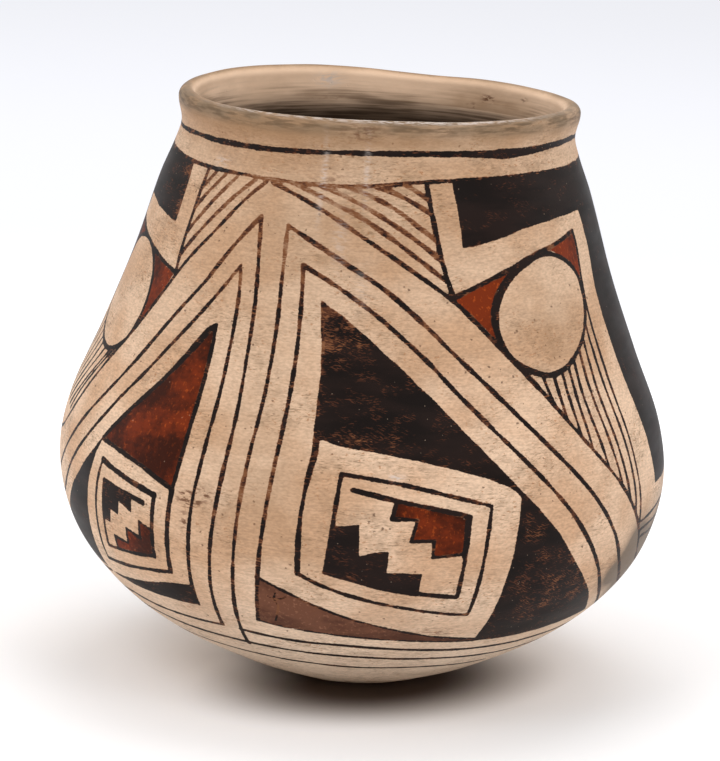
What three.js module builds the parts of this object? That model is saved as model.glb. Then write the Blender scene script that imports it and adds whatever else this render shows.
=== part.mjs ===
// Olla: a round-bellied, wide-mouthed jar built up by hand from coils of clay on a moulded base.
// Millimetres, +Z up. The origin is the middle of the flat spot that the jar stands on.

import * as THREE from 'three';

// Outside of the wall: the belly and the foot, then stations from the foot up. Each has its rise above the
// one below it, and either its radius or how far the wall is drawn in there from the belly
const BELLY_RADIUS = 117.5;
const FOOT_RADIUS = 33;
const BOWL_LOW = { rise: 8, radius: 53.6 };
const BOWL_MIDDLE = { rise: 16, radius: 82.7 };
const BOWL_HIGH = { rise: 18, drawnIn: 15.1 };
const BELLY_LOW = { rise: 18, drawnIn: 4.4 };
const BELLY = { rise: 22, radius: BELLY_RADIUS };
const BELLY_HIGH = { rise: 22, drawnIn: 3.5 };
const SHOULDER_LOW = { rise: 26, drawnIn: 14 };
const SHOULDER_MIDDLE = { rise: 30, radius: 92 };
const SHOULDER_HIGH = { rise: 30, radius: 82.8 };
const NECK_LOW = { rise: 14, radius: 77.4 };
const NECK = { rise: 8, radius: 75.3 };

// Clay
const WALL = 6;
const FLOOR_THICKNESS = 7;
const THUMBED_HOLLOW = 0.5; // how much thinner a coil is halfway up, where the thumb pressed it inside

// Courses
const BASE_HEIGHT = 36; // the bowl pressed in a mould, up to its first coil
const BODY_COILS = 9;
const NECK_COIL_HEIGHT = 14;

// Rolled rim
const LIP_RISE = 9; // from the neck's waist up to the middle of the lip
const LIP_RADIUS = 76.8; // outermost
const LIP_HALF_THICKNESS = 3.3;

// The rim isn't quite level: two slow waves, each with its height and the side that it is highest on
const RIM_WAVES = [
  { lobes: 1, height: 0.45, towards: 124 },
  { lobes: 2, height: 0.9, towards: 133 },
];

// How finely the round shapes are faceted
const SEGMENTS = 72;
const POINT_SPACING = 6.5;
const LIP_STEPS = 6;
const SEARCH_STEPS = 40;

const SLIP = { color: 0xc4a178, roughness: 0.55, metalness: 0 };
const BARE_CLAY = { color: 0xb08a64, roughness: 0.8, metalness: 0 };
const WORN_RIM = { color: 0xb5a488, roughness: 0.65, metalness: 0 };

// The stations from the foot to the neck, with their heights and the slope of a smooth curve there
function wallStations() {
  const rising = [
    BOWL_LOW, BOWL_MIDDLE, BOWL_HIGH, BELLY_LOW, BELLY, BELLY_HIGH,
    SHOULDER_LOW, SHOULDER_MIDDLE, SHOULDER_HIGH, NECK_LOW, NECK,
  ];
  const stations = [{ height: 0, radius: FOOT_RADIUS }];
  for (const { rise, drawnIn, radius = BELLY_RADIUS - drawnIn } of rising) {
    stations.push({ height: stations.at(-1).height + rise, radius });
  }
  stations.forEach((station, i) => {
    const below = stations[Math.max(i - 1, 0)];
    const above = stations[Math.min(i + 1, stations.length - 1)];
    station.slope = (above.radius - below.radius) / (above.height - below.height);
  });
  stations.at(-1).slope = 0; // the neck is the wall's waist
  return stations;
}

const STATIONS = wallStations();
const NECK_HEIGHT = STATIONS.at(-1).height;

// Radius and slope of the wall's outside at a height, on a cubic through the stations on either side
function outside(height) {
  const i = THREE.MathUtils.clamp(
    STATIONS.findLastIndex((station) => station.height <= height), 0, STATIONS.length - 2);
  const [low, high] = [STATIONS[i], STATIONS[i + 1]];
  const span = high.height - low.height;
  const t = (height - low.height) / span;
  const radius = (2 * t ** 3 - 3 * t ** 2 + 1) * low.radius
    + (3 * t ** 2 - 2 * t ** 3) * high.radius
    + (t ** 3 - 2 * t ** 2 + t) * span * low.slope
    + (t ** 3 - t ** 2) * span * high.slope;
  const slope = (6 * t ** 2 - 6 * t) * (low.radius - high.radius) / span
    + (3 * t ** 2 - 4 * t + 1) * low.slope
    + (3 * t ** 2 - 2 * t) * high.slope;
  return { radius, slope };
}

// Radius of the wall's inside at a height: the outside moved in by the wall, square to the wall
function insideRadius(height) {
  let low = 0;
  let high = NECK_HEIGHT;
  for (let step = 0; step < SEARCH_STEPS; step += 1) {
    const middle = (low + high) / 2;
    const lean = Math.atan(outside(middle).slope);
    if (middle + WALL * Math.sin(lean) < height) low = middle;
    else high = middle;
  }
  const { radius, slope } = outside(low);
  return radius - WALL * Math.cos(Math.atan(slope));
}

// Heights from one to another in even steps, both ends included
function evenHeights(from, to, least) {
  const steps = Math.max(least, Math.round((to - from) / POINT_SPACING));
  return Array.from({ length: steps + 1 }, (_, i) => from + (to - from) * i / steps);
}

// A closed solid of revolution about Z, from a profile of [radius, height] points
function turned(profile) {
  const points = profile.map(([radius, height]) => new THREE.Vector2(radius, height));
  return new THREE.LatheGeometry(points, SEGMENTS).rotateX(Math.PI / 2);
}

// The bowl-shaped base: flat underneath, with a flat floor inside and a level bed for the first coil
function mouldedBase(bed) {
  const outer = evenHeights(0, bed, 2).map((height) => [outside(height).radius, height]);
  const inner = evenHeights(FLOOR_THICKNESS, bed, 2).map((height) => [insideRadius(height), height]);
  return turned([[0, 0], ...outer, ...inner.reverse(), [0, FLOOR_THICKNESS]]);
}

// One coil of the wall between two level beds, thumbed a little thinner halfway up the inside
function coil(from, to) {
  const outer = evenHeights(from, to, 2).map((height) => [outside(height).radius, height]);
  const middle = (from + to) / 2;
  const inner = [
    [insideRadius(to), to],
    [insideRadius(middle) + THUMBED_HOLLOW, middle],
    [insideRadius(from), from],
  ];
  return turned([...outer, ...inner, outer[0]]);
}

// Height of the rim's wave at an angle about Z, in radians from +X
function rimWave(angle) {
  return RIM_WAVES.reduce((sum, { lobes, height, towards }) => (
    sum + height * Math.cos(lobes * (angle - THREE.MathUtils.degToRad(towards)))
  ), 0);
}

// The last coil: it flares a little from the neck and is rolled over into a round lip
function rimCoil(bed) {
  const lipHeight = bed + LIP_RISE;
  const lipMiddle = LIP_RADIUS - LIP_HALF_THICKNESS;
  const flare = evenHeights(0, 1, 3).map((t) => ({ t, eased: (1 - Math.cos(Math.PI * t)) / 2 }));
  const rising = (from, to) => flare.map(({ t, eased }) => [
    from + (to - from) * eased,
    bed + LIP_RISE * t,
  ]);
  const outer = rising(outside(bed).radius, LIP_RADIUS);
  const inner = rising(insideRadius(bed), lipMiddle - LIP_HALF_THICKNESS).reverse();
  const roll = [];
  for (let step = 1; step < LIP_STEPS; step += 1) {
    const turn = Math.PI * step / LIP_STEPS;
    roll.push([
      lipMiddle + LIP_HALF_THICKNESS * Math.cos(turn),
      lipHeight + LIP_HALF_THICKNESS * Math.sin(turn),
    ]);
  }
  const geometry = turned([...outer, ...roll, ...inner, outer[0]]);
  const position = geometry.attributes.position;
  const rimHeight = lipHeight + LIP_HALF_THICKNESS;
  for (let i = 0; i < position.count; i += 1) {
    const wave = rimWave(Math.atan2(position.getY(i), position.getX(i)));
    const share = (position.getZ(i) - bed) / (rimHeight - bed);
    position.setZ(i, position.getZ(i) + wave * share);
  }
  return geometry;
}

function named(name, geometry, finish) {
  const mesh = new THREE.Mesh(geometry, new THREE.MeshStandardMaterial(finish));
  mesh.name = name;
  return mesh;
}

const olla = new THREE.Group();
olla.name = 'olla';

olla.add(named('moulded_base', mouldedBase(BASE_HEIGHT), BARE_CLAY));

const neckBed = NECK_HEIGHT - NECK_COIL_HEIGHT;
const coilHeight = (neckBed - BASE_HEIGHT) / BODY_COILS;
const beds = Array.from({ length: BODY_COILS }, (_, i) => BASE_HEIGHT + coilHeight * i);
beds.push(neckBed);
for (let i = 0; i < BODY_COILS; i += 1) {
  olla.add(named(`body_coil_${i + 1}`, coil(beds[i], beds[i + 1]), SLIP));
}

olla.add(named('neck_coil', coil(neckBed, NECK_HEIGHT), SLIP));
olla.add(named('rim_coil', rimCoil(NECK_HEIGHT), WORN_RIM));

export default olla;
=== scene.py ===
"""A coil-built olla in burnished buff slip, painted in black and red: its meshes, finishes and studio.

The wall is one skin that runs from the middle of the foot up the outside, over the lip and down the
inside to the middle of the floor. A place on it is an angle round the jar, in degrees to the right of
the front, and a rise, the distance along the skin from the edge of the foot. Painted marks are laid out
in degrees and millimetres of rise. Meshes and studio are in metres.
"""

import logging
import math
from dataclasses import dataclass, field
from enum import Enum
from typing import Iterable, Iterator, Optional, Union

import bpy
import numpy as np
from mathutils import Matrix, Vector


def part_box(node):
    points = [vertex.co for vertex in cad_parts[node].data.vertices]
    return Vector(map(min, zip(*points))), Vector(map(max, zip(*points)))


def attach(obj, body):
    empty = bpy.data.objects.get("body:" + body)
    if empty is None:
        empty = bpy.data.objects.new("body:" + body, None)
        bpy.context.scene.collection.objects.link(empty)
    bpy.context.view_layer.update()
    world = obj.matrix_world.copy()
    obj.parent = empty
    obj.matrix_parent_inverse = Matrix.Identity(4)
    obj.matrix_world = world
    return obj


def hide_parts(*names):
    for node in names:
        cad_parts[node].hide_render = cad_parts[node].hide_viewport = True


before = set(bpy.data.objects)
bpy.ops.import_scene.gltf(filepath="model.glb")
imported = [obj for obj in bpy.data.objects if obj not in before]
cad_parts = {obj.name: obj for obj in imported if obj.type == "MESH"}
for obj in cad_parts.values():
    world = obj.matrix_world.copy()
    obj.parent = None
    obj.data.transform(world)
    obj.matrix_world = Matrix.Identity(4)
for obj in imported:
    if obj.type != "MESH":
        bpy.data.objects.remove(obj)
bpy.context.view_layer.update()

log = logging.getLogger("olla")

MM = 0.001

Point = tuple[float, ...]
Line = tuple[Point, ...]
Colour = tuple[float, float, float, float]
Socket = bpy.types.NodeSocket


def tint(red: int, green: int, blue: int) -> Colour:
    """Turn a colour mixed on screen, 0 to 255 a channel, into the linear colour that a shader takes.

    Args:
        red: Red, 0 to 255.
        green: Green, 0 to 255.
        blue: Blue, 0 to 255.

    Returns:
        The linear colour, opaque.
    """
    shares = [channel / 255 for channel in (red, green, blue)]
    linear = [s / 12.92 if s <= 0.04045 else ((s + 0.055) / 1.055) ** 2.4 for s in shares]
    return (*linear, 1.0)


def mesh_object(name: str, mesh: bpy.types.Mesh) -> bpy.types.Object:
    """Link a mesh into the scene, at the origin.

    Args:
        name: Name of the object.
        mesh: The mesh.

    Returns:
        The object.
    """
    thing = bpy.data.objects.new(name, mesh)
    bpy.context.scene.collection.objects.link(thing)
    return thing


def cubic(t: np.ndarray, start: np.ndarray, end: np.ndarray, leaving: np.ndarray,
          arriving: np.ndarray) -> np.ndarray:
    """Run a smooth curve from one value to another.

    Args:
        t: Share of the way, from 0 to 1.
        start: The value that it starts from.
        end: The value that it ends at.
        leaving: How fast it changes as it starts, per whole way.
        arriving: How fast it changes as it ends.

    Returns:
        The value at each share of the way.
    """
    return (
        (2 * t**3 - 3 * t**2 + 1) * start + (3 * t**2 - 2 * t**3) * end
        + (t**3 - 2 * t**2 + t) * leaving + (t**3 - t**2) * arriving
    )


@dataclass
class WallSkin:
    """The jar's skin, worked out from the wall's stations and thickness.

    Attributes:
        stations: Height and outside radius of the wall, from the foot to the neck.
        thickness: Thickness of the wall.
        floor: Thickness of the floor.
        base: Height of the moulded base.
        coil: Height of a body coil.
        neck_coil: Height of the neck coil.
        thumbed: How much thinner a coil is halfway up, where the thumb pressed it inside.
        unthumbed: How far along the inside from the crest of the lip the thumb left smooth.
        thumb_marks: Thumb marks round a coil, the share of the depth that they vary, and how far the
            marks of one coil are turned from those of the coil below, in radians.
        lip_rise: From the neck up to the middle of the lip.
        lip_radius: Outermost radius of the lip.
        lip_half: Half the lip's thickness.
        waves: The rim's waves: lobes, height, and the side that is highest, in degrees from the front.
        dips: Low places along the rim: side and half width in degrees, and depth.
        uneven: Slow waves of a hand-built wall: lobes, length up the wall, height in millimetres, and
            start in radians.
        steady: Radius within which those waves die away.
        step: Spacing of the points that the skin is worked out on.
        rim_points: Points across the flare of the rim, and round its lip.
        softened: How far the corner of the foot and of the floor is rounded off each way.
        pole: Radius within which the foot and the floor are flat.
    """

    stations: tuple[tuple[float, float], ...] = (
        (0.000, 0.0330), (0.008, 0.0536), (0.024, 0.0827), (0.042, 0.1024), (0.060, 0.1131),
        (0.082, 0.1175), (0.104, 0.1140), (0.130, 0.1035), (0.160, 0.0920), (0.190, 0.0828),
        (0.204, 0.0774), (0.212, 0.0753),
    )
    thickness: float = 0.006
    floor: float = 0.007
    base: float = 0.036
    coil: float = 0.018
    neck_coil: float = 0.014
    thumbed: float = 0.0005
    unthumbed: float = 0.012
    thumb_marks: tuple[int, float, float] = (25, 0.2, 40.0)
    lip_rise: float = 0.009
    lip_radius: float = 0.0768
    lip_half: float = 0.0033
    waves: tuple[tuple[int, float, float], ...] = ((1, 0.00045, 214.0), (2, 0.0009, 223.0))
    dips: tuple[tuple[float, float, float], ...] = ((168.0, 18.0, 0.0008),)
    uneven: tuple[tuple[int, float, float, float], ...] = (
        (2, 0.11, 0.20, 0.3), (3, 0.034, 0.17, 1.1), (5, -0.021, 0.12, 2.6), (8, 0.013, 0.06, 4.4),
        (13, -0.009, 0.035, 5.2), (21, 0.006, 0.02, 0.9),
    )
    steady: float = 0.03
    step: float = 0.00025
    rim_points: tuple[int, int] = (40, 60)
    softened: float = 0.004
    pole: float = 0.002

    def __post_init__(self) -> None:
        """Lay the skin out once, for every piece to read."""
        self.neck, self.neck_radius = self.stations[-1]
        self.lip_height = self.neck + self.lip_rise
        self.crest = self.lip_height + self.lip_half
        heights = np.arange(0, self.neck + self.step / 2, self.step)
        radii = self._outside(heights)
        lean = np.arctan(np.gradient(radii, heights))
        lean[-1] = 0
        outside = np.stack([radii, heights], 1)
        inside = outside + self.thickness * np.stack([-np.cos(lean), np.sin(lean)], 1)
        inside = inside[(inside[:, 1] > self.floor) & (inside[:, 1] < self.neck)][::-1]
        underneath, floor = np.array([[0.0, 0.0]]), np.array([[0.0, self.floor]])
        self._resample(np.concatenate([underneath, outside, self._rim(), inside, floor]))

    def _outside(self, heights: np.ndarray) -> np.ndarray:
        """Run smooth curves through the stations.

        Args:
            heights: Heights on the wall.

        Returns:
            The outside radius at each.
        """
        height, radius = np.array(self.stations).T
        slope = np.empty_like(radius)
        slope[1:-1] = (radius[2:] - radius[:-2]) / (height[2:] - height[:-2])
        slope[0] = (radius[1] - radius[0]) / (height[1] - height[0])
        slope[-1] = 0
        i = np.clip(np.searchsorted(height, heights, side="right") - 1, 0, len(height) - 2)
        span = height[i + 1] - height[i]
        t = (heights - height[i]) / span
        return cubic(t, radius[i], radius[i + 1], span * slope[i], span * slope[i + 1])

    def _rim(self) -> np.ndarray:
        """Shape the rim.

        Returns:
            Radius and height up the flare outside, round the lip and down the flare inside.
        """
        flare = np.linspace(0, 1, self.rim_points[0])
        eased = (1 - np.cos(math.pi * flare)) / 2
        heights = self.neck + self.lip_rise * flare
        middle = self.lip_radius - self.lip_half
        inner_neck = self.neck_radius - self.thickness
        out = self.neck_radius + (self.lip_radius - self.neck_radius) * eased
        back = inner_neck + (middle - self.lip_half - inner_neck) * eased
        turn = np.linspace(0, math.pi, self.rim_points[1])
        roll = (middle + self.lip_half * np.cos(turn), self.lip_height + self.lip_half * np.sin(turn))
        return np.concatenate([
            np.stack([out, heights], 1)[1:], np.stack(roll, 1)[1:], np.stack([back, heights], 1)[-2::-1],
        ])

    def _resample(self, line: np.ndarray) -> None:
        """Keep the skin as even points by rise, with the corners of the foot and the floor rounded off.

        Args:
            line: Radius and height of each point along the skin.
        """
        foot = self.stations[0][1]
        length = np.concatenate([[0], np.cumsum(np.hypot(*np.diff(line, axis=0).T))])
        even = np.linspace(0, length[-1], round(length[-1] / self.step) + 1)
        radius = np.interp(even, length, line[:, 0])
        height = np.interp(even, length, line[:, 1])
        floor_edge = even[-1] - line[-2, 0]
        width = round(self.softened / self.step)
        kernel = np.hanning(2 * width + 1) / np.hanning(2 * width + 1).sum()
        for corner in (foot, floor_edge):
            near = np.clip(1.5 - np.abs(even - corner) / self.softened, 0, 1)
            for values in (radius, height):
                values += near * (np.convolve(np.pad(values, width, mode="edge"), kernel, "valid") - values)
        self.rise = even - foot
        self.radius = radius
        self.height = height
        along = np.stack([np.gradient(radius), np.gradient(height)], 1)
        along /= np.linalg.norm(along, axis=1)[:, None]
        self.outward = np.stack([along[:, 1], -along[:, 0]], 1)
        self.top = self.rise[np.argmax(height)]

    def outer_rise(self, height: float) -> float:
        """Return the rise of the outside at a height."""
        outside = self.rise <= self.top
        return float(np.interp(height, self.height[outside], self.rise[outside]))

    def inner_rise(self, height: float) -> float:
        """Return the rise of the inside at a height."""
        inside = self.rise >= self.top
        return float(np.interp(-height, -self.height[inside], self.rise[inside]))

    def radius_at(self, rise: np.ndarray) -> np.ndarray:
        """Return the radius at each rise."""
        return np.interp(rise, self.rise, self.radius)

    def unevenness(self, rise: np.ndarray, angle: np.ndarray) -> np.ndarray:
        """Return how far a hand-built wall stands proud of a true round, in metres.

        Args:
            rise: Rise of each place, in metres.
            angle: Angle of each place, in radians.

        Returns:
            The height of the bump there, below zero in a hollow.
        """
        total = 0
        for lobes, length, height, start in self.uneven:
            total = total + height * MM * np.sin(lobes * angle + rise / length + start)
        return total * np.clip(self.radius_at(rise) / self.steady, 0, 1) ** 2

    def thumbing(self, rise: np.ndarray, angle: np.ndarray) -> np.ndarray:
        """Return how deep the thumb pressed the inside of each body coil.

        Args:
            rise: Rise of each place, in metres.
            angle: Angle of each place, in radians.

        Returns:
            The depth, in metres: none at a bed and outside.
        """
        height = np.interp(rise, self.rise, self.height)
        coils = (self.neck - self.neck_coil - self.base) / self.coil
        share = np.clip((height - self.base) / self.coil, 0, coils)
        pressed = np.sin(math.pi * share) ** 2 * (rise > self.top + self.unthumbed)
        marks, varied, turned = self.thumb_marks
        print_depth = 1 - varied + varied * np.sin(marks * angle + turned * np.floor(share))
        return self.thumbed * pressed * print_depth

    def place(self, rise: np.ndarray, angle: np.ndarray) -> np.ndarray:
        """Return the points of the skin at some rises and angles.

        Args:
            rise: Rise of each place, in metres.
            angle: Angle of each place, in radians to the right of the front.

        Returns:
            X, Y and Z of each, in metres, in the frame of the model.
        """
        proud = self.unevenness(rise, angle) - self.thumbing(rise, angle)
        radius, height = (
            np.interp(rise, self.rise, values) + proud * np.interp(rise, self.rise, outward)
            for values, outward in zip((self.radius, self.height), self.outward.T)
        )
        wave = sum(size * np.cos(lobes * (angle - math.radians(side))) for lobes, size, side in self.waves)
        for side, reach, depth in self.dips:
            around = (np.degrees(angle) - side + 180) % 360 - 180
            wave = wave - depth * np.exp(-((around / reach) ** 2))
        height = height + wave * np.clip((height - self.neck) / (self.crest - self.neck), 0, None)
        return np.stack([radius * np.sin(angle), -radius * np.cos(angle), height], -1)

    def normal(self, rise: np.ndarray, angle: np.ndarray) -> np.ndarray:
        """Return the unit normals of the skin at some rises and angles, from points close by.

        Args:
            rise: Rise of each place, in metres.
            angle: Angle of each place, in radians.

        Returns:
            X, Y and Z of each.
        """
        reach, turn = 0.0004, math.radians(0.3)
        along = self.place(rise + reach, angle) - self.place(rise - reach, angle)
        around = self.place(rise, angle + turn) - self.place(rise, angle - turn)
        normal = np.cross(around, along)
        flat = np.broadcast_to(self.radius_at(rise) < self.pole, normal.shape[:-1])
        normal[flat] = 0
        normal[..., 2][flat] = np.broadcast_to(np.where(rise > 0, 1.0, -1.0), flat.shape)[flat]
        return normal / np.linalg.norm(normal, axis=-1, keepdims=True)


class Slot(Enum):
    """The record's material slots."""

    BARE_CLAY = "bare_clay"
    PAINTED_SLIP = "painted_slip"
    WORN_RIM = "worn_rim"


class Pigment(Enum):
    """The paints on the slip."""

    BLACK = "black"
    RED = "red"
    UMBER = "umber"


@dataclass(frozen=True)
class Stroke:
    """One pull of the brush along a smooth line.

    Attributes:
        points: Degrees and rise, with the line's width as a third number where it changes.
        width: Width of the line where its points give none, in millimetres.
        thin: How thin the paint went on, from 0, full, to 1, a brown stain.
        pigment: The paint.
    """

    points: Line
    width: float = 1.7
    thin: float = 0.27
    pigment: Pigment = Pigment.BLACK


@dataclass(frozen=True)
class Fill:
    """An area filled with paint.

    Attributes:
        edges: Smooth edges in order round the area. Each starts at a corner and runs to the next one's.
        pigment: The paint.
        thin: How thin the paint went on, from 0, full, to 1, a brown stain.
    """

    edges: tuple[Line, ...]
    pigment: Pigment = Pigment.BLACK
    thin: float = 0.05


Mark = Union[Stroke, Fill]


@dataclass(frozen=True)
class Rub:
    """A soft-edged patch where the surface is rubbed, stained or scuffed, somewhere round the whole jar.

    Attributes:
        angle: Degrees round from the front.
        rise: Millimetres up the wall.
        width: Half its width, in degrees.
        height: Half its height, in millimetres.
        amount: How strong it is in the middle.
    """

    angle: float
    rise: float
    width: float
    height: float
    amount: float


def strokes(lines: Iterable[Line], width: float, thin: float) -> Iterator[Stroke]:
    """Yield a stroke along each of some lines, alike in width and thinness."""
    for line in lines:
        yield Stroke(line, width, thin)


def corners(*points: Point) -> tuple[Line, ...]:
    """Return points as the edges of an area whose sides there are straight."""
    return tuple((point,) for point in points)


def smooth_line(points: Line, width: float) -> np.ndarray:
    """Draw a smooth curve through points on the wall.

    Args:
        points: Degrees, rise and sometimes width of each point.
        width: Width where a point gives none.

    Returns:
        Degrees, rise and width along the curve, in short steps.
    """
    knots = np.array([(*point, width)[:3] for point in points])
    if len(knots) < 3:
        return knots
    degree, step = 1.9, 3  # millimetres round the belly, and along the curve
    chord = np.hypot(np.diff(knots[:, 0]) * degree, np.diff(knots[:, 1]))
    along = np.concatenate([[0], np.cumsum(chord)])
    slope = np.empty_like(knots)
    slope[1:-1] = (knots[2:] - knots[:-2]) / (along[2:] - along[:-2])[:, None]
    slope[0] = 2 * (knots[1] - knots[0]) / chord[0] - slope[1]
    slope[-1] = 2 * (knots[-1] - knots[-2]) / chord[-1] - slope[-2]
    pieces = []
    for i, length in enumerate(chord):
        t = np.arange(0, 1, 1 / max(1, round(length / step)))[:, None]
        pieces.append(cubic(t, knots[i], knots[i + 1], length * slope[i], length * slope[i + 1]))
    return np.concatenate([*pieces, knots[-1:]])


@dataclass(frozen=True)
class Decoration:
    """The painted layout, which covers the half in front and repeats behind, and the wear all round.

    Attributes:
        rubbed: Where paint is worn thin.
        stained: Where brown stains lie.
        handled: Where hands have darkened the slip.
        shaded_patches: Painted shade that greys the slip low on the right of the belly, and once behind.
        scuffed_and_highlit: Pale scuffs over paint and slip, and painted highlights on and inside the lip.
    """

    rubbed: tuple[Rub, ...] = (
        Rub(-14, 250, 20, 5, 0.35), Rub(-31, 244, 5, 8, 0.4), Rub(-21, 224, 3, 18, 0.55),
        Rub(-17, 219, 3, 7, 0.4), Rub(-30.5, 231, 6, 9, 0.35), Rub(-32, 212, 3, 9, 0.45),
        Rub(-38, 216, 8, 14, 0.25), Rub(-10, 240, 14, 7, 0.42), Rub(-14, 228, 7, 7, 0.35),
        Rub(-6, 221, 6, 8, 0.25), Rub(-36, 232, 12, 12, 0.15), Rub(-10, 204, 4, 6, 0.3),
        Rub(-5, 200, 5, 7, 0.24), Rub(-9.6, 184, 2.0, 28, 0.42), Rub(-5, 192, 6, 9, 0.26),
        Rub(-3, 157, 6, 3, 0.3), Rub(4, 157, 10, 3, 0.14), Rub(4, 175, 12, 30, 0.1),
        Rub(22, 150, 6, 6, 0.2), Rub(33, 124, 4, 6, 0.3), Rub(38, 106, 9, 14, 0.32),
        Rub(46, 92, 8, 8, 0.26), Rub(36, 84, 8, 8, 0.2), Rub(-59.4, 238, 2.2, 12, 0.5),
        Rub(-60, 247, 5, 4, 0.35), Rub(-70, 240, 8, 9, 0.12), Rub(-16, 215, 2, 5, 0.25),
        Rub(-16.5, 145, 1.4, 24, 0.52), Rub(-21.5, 142, 1.4, 26, 0.46), Rub(-26, 128, 1.4, 30, 0.2),
        Rub(-45, 184, 8, 12, 0.25), Rub(46, 262.5, 14, 1.2, 0.1), Rub(2, 109, 5, 5, 0.12),
        Rub(62, 125, 2.5, 16, 0.2), Rub(2, 213, 6, 8, 0.22), Rub(14, 200, 4, 8, 0.15),
        Rub(53, 165, 6, 14, 0.2), Rub(30, 218, 6, 4, 0.15), Rub(50, 227, 8, 3, 0.2),
        Rub(-12, 89, 6, 6, 0.6), Rub(168, 248, 16, 6, 0.4), Rub(172, 205, 5, 12, 0.4),
        Rub(159, 226, 3, 12, 0.4), Rub(214, 118, 9, 16, 0.25), Rub(120, 240, 6, 10, 0.3),
        Rub(186, 160, 9, 9, 0.25),
    )
    stained: tuple[Rub, ...] = (
        Rub(-33, 130, 1.7, 3, 1.3), Rub(-30.6, 129.5, 2.0, 3, 1.0), Rub(-28.4, 133, 2.2, 2, 0.9),
        Rub(-33, 121, 0.8, 4, 1.0), Rub(18, 78, 4, 2.6, 0.55), Rub(20, 90, 3, 2.4, 0.5),
        Rub(12, 87, 2, 2, 0.35), Rub(-42, 140, 2, 2, 0.2), Rub(-20, 262, 9, 4, 0.3),
        Rub(-12, 253, 7, 4, 0.4), Rub(-48, 262, 8, 5, 0.25), Rub(-5, 250, 8, 3, 0.35),
        Rub(-4, 271, 5, 3, 0.75), Rub(142, 286.5, 2.2, 1.8, 1.2), Rub(148, 290, 1.6, 1.2, 0.9),
        Rub(126, 284, 1.6, 1.0, 0.8), Rub(196, 292, 7, 2.4, 0.3), Rub(144, 130, 3, 5, 0.6),
        Rub(205, 86, 5, 4, 0.5), Rub(100, 190, 3, 6, 0.4), Rub(168, 252, 9, 4, 0.3),
    )
    handled: tuple[Rub, ...] = (
        Rub(-18, 236, 22, 26, 0.36), Rub(-30, 262, 30, 12, 0.34), Rub(-20, 148, 12, 40, 0.42),
        Rub(30, 262, 30, 9, 0.2), Rub(46, 192, 8, 12, 0.35), Rub(4, 176, 4, 30, 0.1),
        Rub(-12, 120, 8, 22, 0.18), Rub(60, 120, 8, 26, 0.3), Rub(44, 206, 13, 15, 0.25),
        Rub(0, 268, 26, 6, 0.25), Rub(10, 240, 30, 20, 0.15), Rub(142, 289, 22, 8, 0.75),
        Rub(168, 296, 8, 4, 0.3), Rub(202, 294, 16, 7, 0.3), Rub(-60, 262, 14, 10, 0.35),
        Rub(72, 262, 16, 10, 0.25), Rub(150, 240, 30, 24, 0.4), Rub(196, 170, 20, 30, 0.25),
        Rub(236, 210, 20, 24, 0.2),
    )
    # Painted shade: grey patches low on the right of the belly, where it turns down, and one behind.
    shaded_patches: tuple[Rub, ...] = (
        Rub(60.5, 97, 4, 7, 1.2), Rub(66, 107, 4.5, 10, 1.6), Rub(72, 94, 8, 14, 1.6),
        Rub(82, 106, 9, 18, 1.2), Rub(222, 120, 12, 14, 0.5),
    )
    # Pale scuffs. Those along the lip's crest and the one just inside the far lip are also painted
    # highlights.
    scuffed_and_highlit: tuple[Rub, ...] = (
        Rub(6.3, 145.2, 1.2, 0.9, 1.0), Rub(-14, 252, 0.8, 14, 0.45), Rub(-2.5, 256, 0.8, 12, 0.4),
        Rub(-8, 230, 1.8, 10, 0.25), Rub(-2, 214, 1.6, 8, 0.2), Rub(-47, 254, 3, 2, 0.4),
        Rub(16, 276.3, 30, 1.1, 1.2), Rub(-34, 276.5, 20, 0.8, 0.6), Rub(197, 284, 4, 2.4, 0.75),
        Rub(172, 240, 1, 14, 0.6), Rub(190, 272.6, 12, 1, 0.6), Rub(140, 148, 1.5, 1.2, 0.9),
    )

    def marks(self) -> Iterator[Mark]:
        """Yield every mark of the half in front."""
        for group in (
            self.neck_lines, self.left_fan, self.right_fan, self.four_lines, self.dark_shoulder,
            self.right_disc, self.left_disc, self.red_peak, self.small_panel, self.left_darks,
            self.black_peak, self.big_panel, self.right_field, self.bottom_wedge, self.bottom_lines,
        ):
            yield from group()

    def neck_lines(self) -> Iterator[Mark]:
        """Yield the two lines round the neck."""
        yield Stroke((
            (-94, 264.0, 1.8), (-88, 262.4, 1.7), (-80, 261.5, 1.7), (-66, 261.5, 1.8), (-48, 261.2, 2.1),
            (-32, 261.5, 2.2), (-20, 262.2, 2.1), (-8, 263.0, 1.9), (6, 263.6, 2.2), (20, 263.7, 2.3),
            (30, 263.4, 2.6), (38, 263.0, 3.6), (46, 263.2, 3.3), (54, 263.8, 2.7), (64, 264.3, 2.4),
            (74, 264.5, 2.1), (86, 263.8, 1.8),
        ), thin=0.16)
        yield Stroke((
            (-94, 255.6), (-86, 253.4), (-78, 252.6), (-64, 251.5, 1.8), (-46, 250.8, 1.7),
            (-36, 250.8, 1.4),
        ), 1.7, 0.3)
        yield Stroke((
            (-38, 250.8), (-28, 250.4), (-12, 250.3), (-2, 251.1), (7, 252.5),
        ), 1.5, 0.62)
        yield Stroke((
            (5, 252.2), (10, 253), (16, 253.6), (40, 254.5), (62, 254.7), (86, 255.0),
        ), 1.7, 0.3)

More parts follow.
